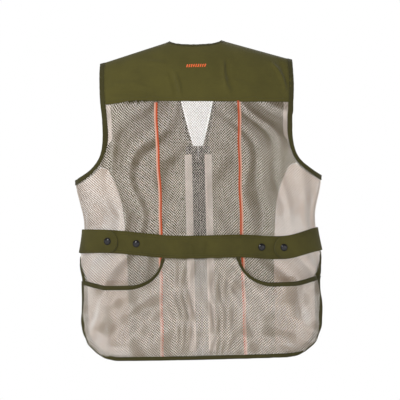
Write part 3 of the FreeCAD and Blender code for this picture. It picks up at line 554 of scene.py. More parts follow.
def grid_faces(rows, columns, closed_rows=False, closed_columns=False, flip=False):
    row = np.arange(rows if closed_rows else rows - 1)[:, None]
    column = np.arange(columns if closed_columns else columns - 1)[None, :]
    next_row = (row + 1) % rows
    next_column = (column + 1) % columns
    corners = np.broadcast_arrays(row * columns + column, row * columns + next_column,
                                  next_row * columns + next_column, next_row * columns + column)
    quads = np.stack(corners, axis=-1).reshape(-1, 4)
    return quads[:, ::-1] if flip else quads


def metric_uvs(points):
    """Distances over a grid of points, in metres, for weaves that keep their scale."""
    across = np.linalg.norm(np.diff(points, axis=1), axis=2)
    down = np.linalg.norm(np.diff(points, axis=0), axis=2)
    u = np.concatenate([np.zeros((points.shape[0], 1)), np.cumsum(across, axis=1)], axis=1)
    u -= u[:, u.shape[1] // 2:u.shape[1] // 2 + 1]
    v = np.concatenate([np.zeros((1, points.shape[1])), np.cumsum(down, axis=0)], axis=0)
    return np.stack([u, -v], axis=-1)


def sheet_area(points):
    """Width, length and area of a grid of points laid flat."""
    across = np.linalg.norm(np.diff(points, axis=1), axis=2).sum(1)
    down = np.linalg.norm(np.diff(points, axis=0), axis=2).sum(0)
    first = points[1:, :-1] - points[:-1, :-1]
    second = points[:-1, 1:] - points[:-1, :-1]
    third = points[1:, :-1] - points[1:, 1:]
    fourth = points[:-1, 1:] - points[1:, 1:]
    area = np.linalg.norm(np.cross(first, second), axis=-1).sum() / 2
    area += np.linalg.norm(np.cross(third, fourth), axis=-1).sum() / 2
    return float(across.max()), float(down.max()), float(area)


def cloth_from_grid(name, grid, lift, thick, give=1.0):
    """A closed sheet of cloth over a grid of turns and drops, with its size."""
    turn, drop = grid[..., 0], grid[..., 1]
    height = lifted(lift, turn, drop)
    return closed_sheet(name, *[place(turn, drop, height + share * thick, give) for share in (1.0, 0.0)])


def closed_sheet(name, outer, inner):
    """Cloth between two skins, with its size."""
    rows, columns = outer.shape[:2]
    middle = (outer + inner) / 2
    uvs = metric_uvs(middle).reshape(-1, 2)
    rim = rim_order(rows, columns)
    stop = np.roll(rim, -1)
    count = rows * columns
    faces = [grid_faces(rows, columns, flip=True), grid_faces(rows, columns) + count,
             np.stack([rim, stop, stop + count, rim + count], axis=-1)]
    points = np.concatenate([outer.reshape(-1, 3), inner.reshape(-1, 3)])
    return new_mesh(name, points, np.concatenate(faces), np.concatenate([uvs, uvs])), sheet_area(middle)


def rim_order(rows, columns):
    """Vertex numbers round a grid's outline."""
    top = np.arange(columns)
    right = np.arange(1, rows) * columns + columns - 1
    foot = (rows - 1) * columns + np.arange(columns - 2, -1, -1)
    left = np.arange(rows - 2, 0, -1) * columns
    return np.concatenate([top, right, foot, left])


TAPE_SECTION = [(0.03, 0.02), (0.0, 0.25), (0.0, 0.72), (0.05, 0.95), (0.18, 1.06), (0.50, 1.0), (0.80, 1.02),
                (0.95, 0.94), (1.0, 0.70), (1.0, 0.25), (0.97, 0.02), (0.50, -0.06)]
CORD_SECTION = [(0.5 - 0.5 * math.cos(angle), 0.5 + 0.5 * math.sin(angle))
                for angle in np.linspace(0, 2 * math.pi, 11)[:-1]]


def tape(name, first, second, lift, thick, section=TAPE_SECTION, step=0.004, closed=False, give=1.0,
         pucker=0.05):
    """A tape or cord with a rounded section between two edges that run the same way."""
    count = max(4, int(reach_of(first)[-1] / step))
    first = even(first, count)
    second = even(second, count)
    if closed:
        first = first[:-1]
        second = second[:-1]
    rows = len(first)
    rings = []
    phase = np.arange(rows)
    puff = 1 + pucker * np.sin(phase * 1.9) * np.sin(phase * 0.37 + 1)
    ends = [(on_shape(edge), outward(edge[:, 0], edge[:, 1]), folds(edge[:, 0], edge[:, 1]))
            for edge in (first, second)]
    for share, height in section:
        spot = first + (second - first) * share
        base, normal, bump = [near * (1 - share) + far * share for near, far in zip(*ends)]
        up = lifted(lift, spot[:, 0], spot[:, 1]) + give * bump + height * thick * puff
        rings.append(base + unit(normal) * up[:, None])
    points = np.stack(rings, axis=1)
    ring = len(section)
    faces = grid_faces(rows, ring, closed_rows=closed, closed_columns=True)
    length = np.linspace(0, reach_of(first)[-1], rows)[:, None]
    width = np.array([share for share, height in section])[None, :] * 0.009
    uvs = np.stack(np.broadcast_arrays(length, width + np.zeros((rows, 1))), axis=-1)
    points = points.reshape(-1, 3)
    uvs = uvs.reshape(-1, 2)
    if closed:
        return new_mesh(name, points, faces, uvs)
    points, uvs = [np.concatenate([values, [values[:ring].mean(0), values[-ring:].mean(0)]])
                   for values in (points, uvs)]
    index = np.arange(ring)
    following = (index + 1) % ring
    base = (rows - 1) * ring
    head = np.stack([index, following, np.full(ring, rows * ring)], axis=-1)
    tail = np.stack([base + following, base + index, np.full(ring, rows * ring + 1)], axis=-1)
    return new_mesh_mixed(name, points, faces, np.concatenate([head, tail]), uvs)


def new_mesh_mixed(name, points, quads, triangles, uvs):
    """A piece of quads with triangles at its ends."""
    mesh = bpy.data.meshes.new(name)
    mesh.from_pydata(points.tolist(), [], quads.tolist() + triangles.tolist())
    layer = mesh.uv_layers.new(name="cloth")
    index = np.empty(len(mesh.loops), int)
    mesh.loops.foreach_get("vertex_index", index)
    layer.data.foreach_set("uv", uvs[index].ravel())
    mesh.polygons.foreach_set("use_smooth", np.full(len(mesh.polygons), True))
    mesh.update()
    piece = bpy.data.objects.new(name, mesh)
    bpy.context.scene.collection.objects.link(piece)
    return piece


# ---------------------------------------------------------------- netting

HOLES_APART = np.array([0.0053, 0.0061])
HOLE_SIZE = np.array([0.00205, 0.00235])
HOLE_CORNERS = 0.52        # how far the slanted corners of a hole reach: 0.5 is a diamond, 0.7 an oval
TURN_TABLE = np.linspace(-180, 180, 1441)
TURN_REACH = run_length(np.stack([0.268 * np.sin(np.radians(TURN_TABLE)),
                                  DEPTH * np.cos(np.radians(TURN_TABLE))], axis=-1))
TURN_REACH -= TURN_REACH[720]


def inside(points, outline):
    """Which points lie inside a closed outline."""
    x, y = points[:, 0], points[:, 1]
    result = np.zeros(len(points), bool)
    for (x1, y1), (x2, y2) in zip(outline, np.roll(outline, -1, axis=0)):
        crosses = (y1 > y) != (y2 > y)
        slope = (x2 - x1) / (y2 - y1) if y2 != y1 else 0
        result ^= crosses & (x < slope * (y - y1) + x1)
    return result


def netting(name, outline, lift, slack=back_slack, open_size=0.985):
    """Knitted netting with real, staggered holes inside an outline; where it is slack they close a little,
    and the slack is also stored for the yarn's painted shade.
    """
    across = np.interp(outline[:, 0], TURN_TABLE, TURN_REACH)
    flat = np.stack([across, outline[:, 1]], axis=-1)
    quarter = HOLES_APART / 4
    low_column, low_row = np.floor(flat.min(0) / quarter / [4, 2]).astype(int) - 1
    high_column, high_row = np.ceil(flat.max(0) / quarter / [4, 2]).astype(int) + 1
    rows = np.arange(low_row, high_row)
    columns = np.arange(low_column, high_column)
    row, column = np.meshgrid(rows, columns, indexing="ij")
    centres = np.stack([4 * column + 2 * (row % 2), 2 * row], axis=-1).reshape(-1, 2)
    centres = centres[inside(centres * quarter, flat)]
    around = np.array([(2, 0), (1, 1), (0, 2), (-1, 1), (-2, 0), (-1, -1), (0, -2), (1, -1)])
    rim = (centres[:, None] + around[None]).reshape(-1, 2)
    knots, number = np.unique(rim, axis=0, return_inverse=True)
    number = number.reshape(-1, 8)
    angle = np.arange(8) * math.pi / 4
    ring = np.stack([np.cos(angle), np.sin(angle)], axis=-1) * HOLE_SIZE
    ring[1::2] *= HOLE_CORNERS * math.sqrt(2)
    shake = np.random.default_rng(3)
    middle = centres * quarter + shake.normal(0, 0.00008, centres.shape)
    spots = surface(np.interp(middle[:, 0], TURN_REACH, TURN_TABLE), middle[:, 1])
    slackness = slack(spots[:, 0], spots[:, 2])
    open_share = (open_size - 0.075 * slackness) * shake.uniform(0.96, 1.04, len(centres))
    holes = (middle[:, None] + ring[None] * open_share[:, None, None]).reshape(-1, 2)
    plan = np.concatenate([knots * quarter, holes])
    turn = np.interp(plan[:, 0], TURN_REACH, TURN_TABLE)
    relief = np.r_[np.full(len(knots), 0.00022), np.full(len(holes), -0.00016)]
    points = place(turn, plan[:, 1], lifted(lift, turn, plan[:, 1]) + relief)
    first = number
    second = np.roll(number, -1, axis=1)
    own = len(knots) + np.arange(len(centres) * 8).reshape(-1, 8)
    faces = np.stack([first, own, np.roll(own, -1, axis=1), second], axis=-1).reshape(-1, 4)
    piece = new_mesh(name, points, faces, plan)
    spots = surface(turn, plan[:, 1])
    # painted shade: the slack value goes to the yarn material, which darkens slack netting
    shade = piece.data.attributes.new("slack", "FLOAT", "POINT")
    shade.data.foreach_set("value", 0.5 + 0.5 * slack(spots[:, 0], spots[:, 2]))
    size = flat.max(0) - flat.min(0)
    hole_area = 4 * HOLE_CORNERS * HOLE_SIZE.prod() * open_share ** 2
    area = len(centres) * HOLES_APART.prod() / 2 - hole_area.sum()
    return piece, (float(size[0]), float(size[1]), float(area))


def sew_sheet(made, material, replaces, body="vest"):
    """Finish a sheet that comes with its measures."""
    piece, measured = made
    finish_piece(piece, material, replaces, body)


def sew_tape(name, side, edges, material, slot, replaces=(), **shape):
    """A tape on the vest between two edges, which are written for the right side unless side is None."""
    edges = for_side(side, *edges) if side else edges
    finish_piece(tape(name, *edges, **shape), material, replaces)


# ---------------------------------------------------------------- stitches


STITCH_PITCH = 0.0034
STITCH_SIZE = 0.0024
THREAD_RADIUS = 0.00038
# rings along a stitch: place, width, and height in thread radii
STITCH_RINGS = ((0.0, 0.35, -0.9), (0.25, 1.0, 0.1), (0.75, 1.0, 0.1), (1.0, 0.35, -0.9))


class Stitches:
    """Gathers the short straight stitches of many seams into one piece."""

    def __init__(self):
        self.points = []
        self.count = 0
        self.faces = []

    def run(self, edge, lift, give=1.0):
        """A row of stitches along an edge."""
        marks = even(edge, max(2, int(reach_of(edge)[-1] / STITCH_PITCH)) + 1)
        starts = marks[:-1]
        ends = starts + (marks[1:] - starts) * (STITCH_SIZE / STITCH_PITCH)
        self.between(*[place(spots[:, 0], spots[:, 1], lift, give) for spots in (starts, ends)],
                     outward(starts[:, 0], starts[:, 1]), THREAD_RADIUS)

    def between(self, begin, end, up, radius):
        """Stitches as flat-ended loops of thread between two lists of points."""
        along = end - begin
        length = np.linalg.norm(along, axis=1, keepdims=True)
        keep = length[:, 0] > 1e-6
        begin, end, up, along = begin[keep], end[keep], up[keep], along[keep] / length[keep]
        side = unit(np.cross(along, up))
        rings = []
        for share, width, height in STITCH_RINGS:
            centre = begin + (end - begin) * share + up * radius * height
            for angle in np.arange(6) * math.pi / 3:
                rings.append(centre + (side * math.cos(angle) + up * math.sin(angle)) * radius * width)
        points = np.stack(rings, axis=1)
        base = (np.arange(len(points)) * 24)[:, None, None] + self.count
        index = np.arange(6)
        quads = []
        for ring in range(3):
            quads.append(np.stack([ring * 6 + index, ring * 6 + (index + 1) % 6,
                                   ring * 6 + 6 + (index + 1) % 6, ring * 6 + 6 + index], axis=-1))
        quads.append(np.array([[0, 3, 2, 1], [0, 5, 4, 3], [18, 19, 20, 21], [18, 21, 22, 23]]))
        pattern = np.concatenate(quads)[None]
        self.faces.append((base + pattern).reshape(-1, 4))
        self.points.append(points.reshape(-1, 3))
        self.count += points.shape[0] * 24

    def piece(self, name):
        points = np.concatenate(self.points)
        return new_mesh(name, points, np.concatenate(self.faces), points[:, [0, 2]])


# ---------------------------------------------------------------- materials


class Finish:
    """A material whose nodes are being put together."""

    def __init__(self, name):
        self.material = bpy.data.materials.new(name)
        self.material.use_nodes = True
        self.nodes = self.material.node_tree.nodes
        self.links = self.material.node_tree.links
        self.shader = self.nodes["Principled BSDF"]
        coordinates = self.nodes.new("ShaderNodeTexCoord")
        self.space = coordinates.outputs["Object"]
        self.cloth = coordinates.outputs["UV"]

    def set(self, **values):
        for name, value in values.items():
            self.shader.inputs[name.replace("_", " ")].default_value = value

    def link(self, output, name):
        self.links.new(output, self.shader.inputs[name])

    def textured(self, kind, coordinate, **values):
        node = self.nodes.new(kind)
        for name, value in values.items():
            node.inputs[name.replace("_", " ")].default_value = value
        self.links.new(coordinate, node.inputs["Vector"])
        return node

    def noise(self, coordinate, scale, detail=4.0, roughness=0.55):
        kind = "ShaderNodeTexNoise"
        return self.textured(kind, coordinate, Scale=scale, Detail=detail, Roughness=roughness).outputs[0]

    def wave(self, scale, direction, distortion):
        kind = "ShaderNodeTexWave"
        node = self.textured(kind, self.cloth, Scale=scale, Distortion=distortion, Detail_Scale=2.0)
        node.bands_direction = direction
        return node.outputs[0]

    def calculate(self, operation, first, second):
        node = self.nodes.new("ShaderNodeMath")
        node.operation = operation
        for socket, value in zip(node.inputs, (first, second)):
            if isinstance(value, (int, float)):
                socket.default_value = value
            else:
                self.links.new(value, socket)
        return node.outputs[0]

    def total(self, *terms):
        """Sum of outputs, each given with its share."""
        result = None
        for output, share in terms:
            part = self.calculate("MULTIPLY", output, share)
            result = part if result is None else self.calculate("ADD", result, part)
        return result

    def ramp(self, factor, dark, light):
        node = self.nodes.new("ShaderNodeValToRGB")
        for element, colour in zip(node.color_ramp.elements, (dark, light)):
            element.color = (*colour, 1)
        self.links.new(factor, node.inputs[0])
        return node.outputs[0]

    def relief(self, height, strength, distance):
        node = self.nodes.new("ShaderNodeBump")
        node.inputs["Strength"].default_value = strength
        node.inputs["Distance"].default_value = distance
        self.links.new(height, node.inputs["Height"])
        self.link(node.outputs[0], "Normal")


def scaled(colour, factor):
    return tuple(channel * factor for channel in colour)


def woven(name, colour, pattern="twill", rough=0.88, sheen=0.10, contrast=0.34, bump=0.35):
    """Woven or knitted cloth: yarn pattern, uneven dye and a little fuzz."""
    finish = Finish(name)
    mottle = finish.noise(finish.space, 13, 5, 0.62)
    slub = finish.noise(finish.cloth, 420, 3)
    if pattern == "twill":
        yarns = finish.total((finish.wave(260, "DIAGONAL", 0.6), 0.7), (finish.wave(620, "X", 0.3), 0.3))
    elif pattern == "knit":
        yarns = finish.noise(finish.cloth, 900, 2)
    else:
        yarns = finish.wave(*{"ribbed": (330, "X", 0.4), "satin": (420, "Y", 0.8)}[pattern])
    level = finish.total((mottle, 0.62), (slub, 0.22), (yarns, 0.16))
    shades = [scaled(colour, 1 + contrast * 1.6 * sign) for sign in (-1, 1)]
    finish.link(finish.ramp(level, *shades), "Base Color")
    finish.link(finish.calculate("ADD", finish.total((slub, 0.10)), rough - 0.06), "Roughness")
    finish.set(Sheen_Weight=sheen, Sheen_Roughness=0.5, Specular_IOR_Level=0.25)
    finish.relief(finish.calculate("ADD", yarns, finish.total((slub, 0.6))), bump, 0.0004)
    return finish


def fabric(*facts, **more):
    """The finished material of a woven cloth."""
    return woven(*facts, **more).material


def yarn(name, taut, slack):
    """Knitted yarn: bright where the netting is taut, and mixed toward a greyer, browner painted-shade colour
    where the netting is slack and hangs in its own shade.
    """
    finish = woven(name, taut, "knit", rough=0.84, sheen=0.12, contrast=0.10, bump=0.5)
    bright = finish.shader.inputs["Base Color"].links[0].from_socket
    # painted shade: the stored slack value, with a little noise, sets how far the yarn goes to its shade
    # colour
    painted_shade_share = finish.nodes.new("ShaderNodeAttribute")
    painted_shade_share.attribute_name = "slack"
    cloud = finish.noise(finish.space, 45, 3)
    share = finish.calculate("ADD", painted_shade_share.outputs["Fac"], finish.total((cloud, 0.5)))
    mix = finish.nodes.new("ShaderNodeMix")
    mix.data_type = "RGBA"
    mix.clamp_factor = True
    # the slack colour is the painted shade
    mix.inputs["B"].default_value = (*slack, 1)
    finish.links.new(finish.calculate("SUBTRACT", share, 0.25), mix.inputs["Factor"])
    finish.links.new(bright, mix.inputs["A"])
    finish.link(mix.outputs["Result"], "Base Color")
    return finish.material


def lacquer(name, colour, rough, metallic=0.0, coat=0.0):
    """Pressed metal or moulded plastic with a fine skin and small scuffs."""
    finish = Finish(name)
    scuff = finish.noise(finish.space, 700, 6, 0.7)
    broad = finish.noise(finish.space, 120, 3)
    finish.link(finish.ramp(broad, scaled(colour, 0.75), scaled(colour, 1.35)), "Base Color")
    finish.link(finish.calculate("ADD", finish.total((scuff, 0.16)), rough - 0.08), "Roughness")
    finish.set(Metallic=metallic, Coat_Weight=coat, Coat_Roughness=0.06)
    finish.relief(scuff, 0.12, 0.0002)
    return finish.material


OLIVE = (0.069, 0.060, 0.0105)
BINDING = (0.041, 0.036, 0.0078)
BEIGE = (0.47, 0.40, 0.35)
ORANGE = (0.46, 0.071, 0.016)

TWILL = fabric("olive_twill", OLIVE, "twill")
BELT_TWILL = fabric("olive_belt_twill", scaled(OLIVE, 0.85), "twill", contrast=0.55)
TAPE = fabric("olive_binding_tape", BINDING, "ribbed", contrast=0.25)
FRONT_TWILL = fabric("olive_front_twill", scaled(OLIVE, 0.92), "twill")
DARK_TAPE = fabric("dark_neck_tape", (0.035, 0.032, 0.022), "ribbed", contrast=0.2)
# the second colours of the back and pouch yarns are painted shade, for slack netting
NET = yarn("beige_net_yarn", (0.98, 0.895, 0.815), (0.22, 0.175, 0.135))
POUCH_NET = yarn("beige_pouch_yarn", (0.98, 0.90, 0.825), (0.34, 0.28, 0.22))
SIDE_NET = yarn("cream_side_yarn", (0.57, 0.41, 0.29), (0.42, 0.29, 0.20))
PIPING = fabric("orange_piping_cord", ORANGE, "ribbed", rough=0.62, sheen=0.2, contrast=0.12)
PINK = fabric("orange_net_edge", (0.60, 0.33, 0.24), "knit", rough=0.8, contrast=0.12)
THREAD = fabric("orange_satin_thread", (0.86, 0.15, 0.03), "satin", rough=0.45, sheen=0.3, contrast=0.15)
SEAM_THREAD = fabric("olive_thread", scaled(OLIVE, 0.62), "satin", rough=0.6, contrast=0.15)
FACING = fabric("beige_facing_tape", scaled(BEIGE, 1.05), "ribbed", contrast=0.08)
ZIP_TAPE = fabric("zip_tape_cloth", (0.030, 0.028, 0.016), "ribbed", contrast=0.2)
ZIP_PLASTIC = lacquer("zip_plastic", (0.030, 0.029, 0.026), 0.42)
SLIDER_METAL = lacquer("slider_lacquer", (0.028, 0.028, 0.028), 0.34, metallic=0.6, coat=0.3)
SNAP_BLACK = lacquer("snap_lacquer", (0.005, 0.0045, 0.007), 0.20, metallic=0.3, coat=0.35)
SNAP_RING = lacquer("snap_ring_metal", (0.016, 0.015, 0.016), 0.36, metallic=0.8)

# ---------------------------------------------------------------- the back

stitches = Stitches()
NET_LIFT = 0.0008
UNDER_TAPE = 0.0045


SEAM_PATHS = {"left": [(0.0905, YOKE_LEVEL), (0.0885, -0.240), (0.0850, -0.374), (0.0865, -0.460),
                       (0.0880, -0.600), (0.0880, HEM)],
              "right": [(0.0920, YOKE_LEVEL), (0.0910, -0.300), (0.0920, -0.460), (0.0935, HEM)]}


def seam_line(side, offset=0.0, count=120, top=YOKE_LEVEL + 0.004, foot=HEM + UNDER_TAPE):
    """The piped seam, written for the right side; its path wanders a little, as sewn netting does."""
    line = smooth_line(SEAM_PATHS[side], 200)[::-1]
    z = np.linspace(top, foot, count)
    x = np.interp(z, line[:, 1], line[:, 0]) + 0.0007 * np.sin(z * 61) + offset
    return station(x, z)


def seam_side():
    """The side seam's stretch between the armhole and the belt."""
    start = inside_armhole(UNDER_TAPE)[-1, 1]
    drops = np.linspace(start + 0.002, station(CHEST, VENT_TOP + 0.004)[1], 20)
    return np.stack([np.full(20, 90.0), drops], axis=-1)


YOKE_CORNERS = {"left": 0.0090, "right": -0.0005}


def yoke_foot(x):
    """Height of the yoke's lower edge: it runs down a little to the right, and hangs at the left armhole."""
    corner = np.where(x < 0, YOKE_CORNERS["left"], YOKE_CORNERS["right"])
    return YOKE_LEVEL - 0.0015 - 0.028 * x - corner * ease((np.abs(x) - 0.135) / 0.072)


def yoke():
    """Shoulder cloth, whose lower edge hangs a little more toward the armholes."""
    inset = 0.006
    neck_side = moved(neckline(), inset)
    arms = {}
    for side, sign in SIDES.items():
        arm = inside_armhole(inset)
        arms[side] = arm[heights(arm) > yoke_foot(sign * (SHOULDER - inset))]
    arms["left"] = mirrored(arms["left"])
    shoulder = np.stack([np.linspace(neck_side[-1, 0], arms["right"][0, 0], 30), np.zeros(30)], axis=-1)
    top_right = join(neck_side, shoulder[1:])
    top = join(mirrored(top_right)[::-1], top_right[1:])
    across = np.linspace(*[on_shape(arms[side][-1])[0] for side in SIDES], 120)
    foot = station(across, yoke_foot(across))
    grid = patch_grid(top, foot, arms["left"], arms["right"], 240, 80)
    sew_sheet(cloth_from_grid("yoke_cloth", grid, 0.0004, 0.0014), TWILL, ["back_yoke"])
    for below in (0.0022, 0.0082):
        stitches.run(moved(foot, -below), 0.0019)
    for side, sign in SIDES.items():
        stitches.run(moved(arms[side], 0.0078 * sign), 0.0019)


def back_outline(side):
    """Outline of a back side panel from its piped seam round to the side and down to the hem."""
    seam = seam_line(side)[::-1]
    seam_x = float(on_shape(seam[0])[0])
    arm = inside_armhole(UNDER_TAPE)
    arm = arm[heights(arm) < YOKE_LEVEL + 0.004]
    vent = vent_edge(VENT_TOP, UNDER_TAPE)
    hem = trace([(VENT_HALF - CORNER, HEM + UNDER_TAPE), (seam_x, HEM + UNDER_TAPE)], smooth=False, count=20)
    return join(arm, seam_side(), vent, hem[1:], seam[1:])


def back_netting():
    outline = join(seam_line("right"), mirrored(seam_line("left"))[::-1])
    sew_sheet(netting("back_center_netting", outline, NET_LIFT), NET, ["back_center_panel"])
    for side in SIDES:
        made = netting(f"back_side_netting_{side}", *for_side(side, back_outline(side)), NET_LIFT)
        sew_sheet(made, NET, [f"back_side_panel_{side}"])


def piping(side):
    """The orange cord in a seam, and the pale edge that shows beside it."""
    for name, offsets, material, replaced, shape in (
            ("cord", (-0.0021, 0.0021), PIPING, [f"back_piping_{side}"],
             {"lift": 0.0006, "thick": 0.0026, "section": CORD_SECTION, "step": 0.003, "pucker": 0.10}),
            ("edge", (0.0016, 0.0056), PINK, [], {"lift": 0.0004, "thick": 0.0011})):
        edges = [seam_line(side, offset, 160, YOKE_LEVEL - 0.0005, HEM + 0.006) for offset in offsets]
        sew_tape(f"piping_{name}_{side}", side, edges, material, "orange_piping", replaced, **shape)


def armhole_facing(side):
    """A pale strip behind the netting along the upper armhole."""
    edges = []
    for distance, end in ((0.0100, -0.235), (0.0215, -0.222)):
        edge = inside_armhole(distance)
        edges.append(edge[(heights(edge) > end) & (heights(edge) < YOKE_LEVEL + 0.006)])
    sew_tape(f"armhole_facing_{side}", side, edges, FACING, "beige_tape", lift=-0.0016, thick=0.0012)


def side_seam(side):
    top = station(CHEST, CHEST_LEVEL - TRIM_WIDTH - 0.004)[1]
    foot = station(CHEST, belt_level(SIDES[side] * CHEST, 0) + 0.001)[1]
    drops = np.linspace(top, foot, 30)
    edges = [np.stack([np.full(30, turn), drops], axis=-1) for turn in (80.0, 98.0)]
    sew_tape(f"side_seam_tape_{side}", side, edges, FACING, "beige_tape", [f"side_seam_{side}"],
             lift=0.0010, thick=0.0016)


# ---------------------------------------------------------------- bound edges


def armhole_binding(side):
    loops = []
    for edge in (ARMHOLE.copy(), moved(ARMHOLE, ARM_TAPE)):
        edge[-1, 0] = 90
        loops.append(join(edge, fronted(edge)[::-1][1:]))
    sew_tape(f"armhole_tape_{side}", side, loops, TAPE, "olive_binding", [f"armhole_binding_{side}"],
             lift=TAPE_SINK, thick=TRIM, closed=True, pucker=0.18)
    stitches.run(*for_side(side, moved(loops[0][1:-1], ARM_TAPE - 0.0016)), TRIM - 0.0007)


def neck_binding():
    back = neckline()
    vee = vee_edge()
    back_inner = moved(back, TRIM_WIDTH)
    vee_inner = moved(vee, TRIM_WIDTH)
    vee_inner[0] = (180 - back_inner[-1, 0], 0)
    back_inner[-1, 1] = 0
    halves = []
    for rear, front in ((back, vee), (back_inner, vee_inner)):
        right = join(rear, front)
        halves.append(join(mirrored(right)[::-1], right[1:]))
    sew_tape("neck_tape", None, halves, TAPE, "olive_binding", ["neck_binding"],
             lift=TAPE_SINK, thick=TRIM, pucker=0.14)


def lower_edges(top, start_x, front=False):
    edges = []
    for inset in (0, TRIM_WIDTH):
        vent = vent_edge(top, inset, front)
        level = (FRONT_HEM if front else HEM) + inset
        hem = trace([(VENT_HALF - CORNER, level), (start_x, level)], front, smooth=False, count=30)
        edges.append(join(vent, hem[1:]))
    return edges


def whole_edges(top):
    return [join(edge, mirrored(edge)[::-1][1:]) for edge in lower_edges(top, 0)]


def hem_bindings():
    sew_tape("back_hem_tape", None, whole_edges(VENT_TOP), TAPE, "olive_binding", ["back_hem_binding"],
             lift=TAPE_SINK, thick=TRIM)
    for side in SIDES:
        sew_tape(f"front_hem_tape_{side}", side, lower_edges(VENT_TOP, VEE_FOOT + 0.001, front=True), TAPE,
                 "olive_binding", [f"front_hem_binding_{side}"], lift=TAPE_SINK, thick=TRIM)


# ---------------------------------------------------------------- rear pouch


def pouch_lift(turn, drop):
    points = surface(turn, drop)
    x = np.abs(points[..., 0])
    z = points[..., 2]
    share = np.minimum(1, x / (VENT_HALF - 0.004))
    mouth = mouth_level(x)
    down = np.clip((mouth - z) / (mouth - HEM - TRIM_WIDTH), 0, 1)
    open_here = ease((share - 0.30) / 0.25)
    rise = open_here + (1 - open_here) * ease(down / 0.4)
    return 0.0032 + POUCH_ROOM * (1 - share ** 6) * (1 - down ** 6) * rise


def crumpled_pouch(turn, drop):
    """The pouch's netting, with loose crumples away from its sewn edges."""
    points = surface(turn, drop)
    x = points[..., 0]
    z = points[..., 2]
    side = ease((VENT_HALF - 0.012 - np.abs(x)) / 0.03)
    hem = ease((z - HEM - 0.012) / 0.04)
    mouth = ease((mouth_level(x) - z) / 0.05)
    return pouch_lift(turn, drop) + 0.0008 + 0.0052 * blotch(x, z) * side * hem * mouth


def pouch():
    half = VENT_HALF - UNDER_TAPE
    right_top = spread(mouth_edge(0, half, UNDER_TAPE), 90)
    vent = vent_edge(mouth_level(half), UNDER_TAPE)
    hem = trace([(VENT_HALF - CORNER, HEM + UNDER_TAPE), (0, HEM + UNDER_TAPE)], smooth=False, count=20)
    right = join(right_top, vent[3:], hem[1:])
    outline = join(right, mirrored(right)[::-1][1:])
    made = netting("pouch_netting", outline, crumpled_pouch, slack=pouch_slack, open_size=0.92)
    sew_sheet(made, POUCH_NET, ["game_pouch"])
    for side in SIDES:
        edges = [mouth_edge(POUCH_HALF - 0.010, VENT_HALF - TRIM_WIDTH - 0.001, below)
                 for below in (0, TRIM_WIDTH)]
        sew_tape(f"pouch_opening_tape_{side}", side, edges, TAPE, "olive_binding",
                 [f"pouch_opening_binding_{side}"], lift=above(pouch_lift, -0.0006), thick=TRIM)
    edges = whole_edges(float(mouth_level(VENT_HALF)) - 0.002)
    sew_tape("pouch_edge_tape", None, edges, TAPE, "olive_binding", ["pouch_edge_binding"],
             lift=0.0028, thick=0.0024)


# ---------------------------------------------------------------- belt

BELT_LIFT = 0.0022
BELT_THICK = 0.0020
BELT_SEAMS = (0.050, 0.135, 0.865, 0.950)        # rows of stitches, as shares of the belt's width


def belt_relief(turn, drop):
    """Lift of the belt: soft creases between its snaps, and a groove along each row of stitches."""
    points = surface(turn, drop)
    x = points[..., 0]
    share = (belt_level(x, 0) - points[..., 2]) / BELT_WIDTH
    free = ease((0.150 - np.abs(x)) / 0.03)
    across = x + 0.35 * (share - 0.5) * BELT_WIDTH * np.sin(x * 31)
    creases = 0.5 * np.sin(across * 150 + 2 * np.sin(x * 37)) + 0.5 * np.sin(across * 83 + 3 * share)
    bulge = 0.0021 * np.maximum(0, creases) ** 1.4 * np.sin(math.pi * np.clip(share, 0, 1)) ** 0.5
    grooves = sum(np.exp(-((share - seam) / 0.016) ** 2) for seam in BELT_SEAMS)
    return BELT_LIFT + free * bulge - 0.0009 * grooves


def belt():
    shares = np.linspace(0, 1, 9)
    sides = []
    for sign in (-1, 1):
        x = sign * belt_reach(sign, shares, 87)
        sides.append(station(x, belt_level(x, shares)))
    rows = [belt_edge(-belt_reach(-1, share, 87), belt_reach(1, share, 87), share) for share in (0, 1)]
    grid = patch_grid(*rows, *sides, 300, 56)
    made = cloth_from_grid("belt_cloth", grid, belt_relief, BELT_THICK, give=0.6)
    sew_sheet(made, BELT_TWILL, ["back_belt"])
    for share in BELT_SEAMS:
        stitches.run(belt_edge(-0.255, 0.255, share, 200), above(belt_relief, BELT_THICK + 0.0001), give=0.6)


for name in SIDES:
    piping(name)
    side_seam(name)
    armhole_binding(name)
    armhole_facing(name)
yoke()
back_netting()
neck_binding()
hem_bindings()
pouch()
belt()

# ---------------------------------------------------------------- fronts


def front_panels(side):
    vee = moved(vee_edge(), UNDER_TAPE)
    vee[0, 1] = 0
    inner = VEE_FOOT - 0.002
    placket = front_line([(inner, VEE_LEVEL - 0.006), (inner, FRONT_HEM + UNDER_TAPE)], 30)
    arm = fronted(inside_armhole(UNDER_TAPE))
    arm = arm[heights(arm) > -0.276]
    seam = front_seam()
    foot_x = abs(float(on_shape(seam[-1])[0]))
    foot = front_line([(inner, FRONT_HEM + UNDER_TAPE), (foot_x, FRONT_HEM + UNDER_TAPE)], 30)
    top = np.stack([np.linspace(vee[0, 0], arm[0, 0], 40), np.zeros(40)], axis=-1)
    grid = patch_grid(*for_side(side, top, foot, join(vee, placket), join(arm, seam)), 90, 170)
    made = cloth_from_grid(f"front_cloth_{side}", grid, 0.0003, 0.0012)
    sew_sheet(made, FRONT_TWILL, [f"front_panel_{side}"])
    stitches.run(*for_side(side, moved(seam[2:-6], -0.0030)), 0.0016)


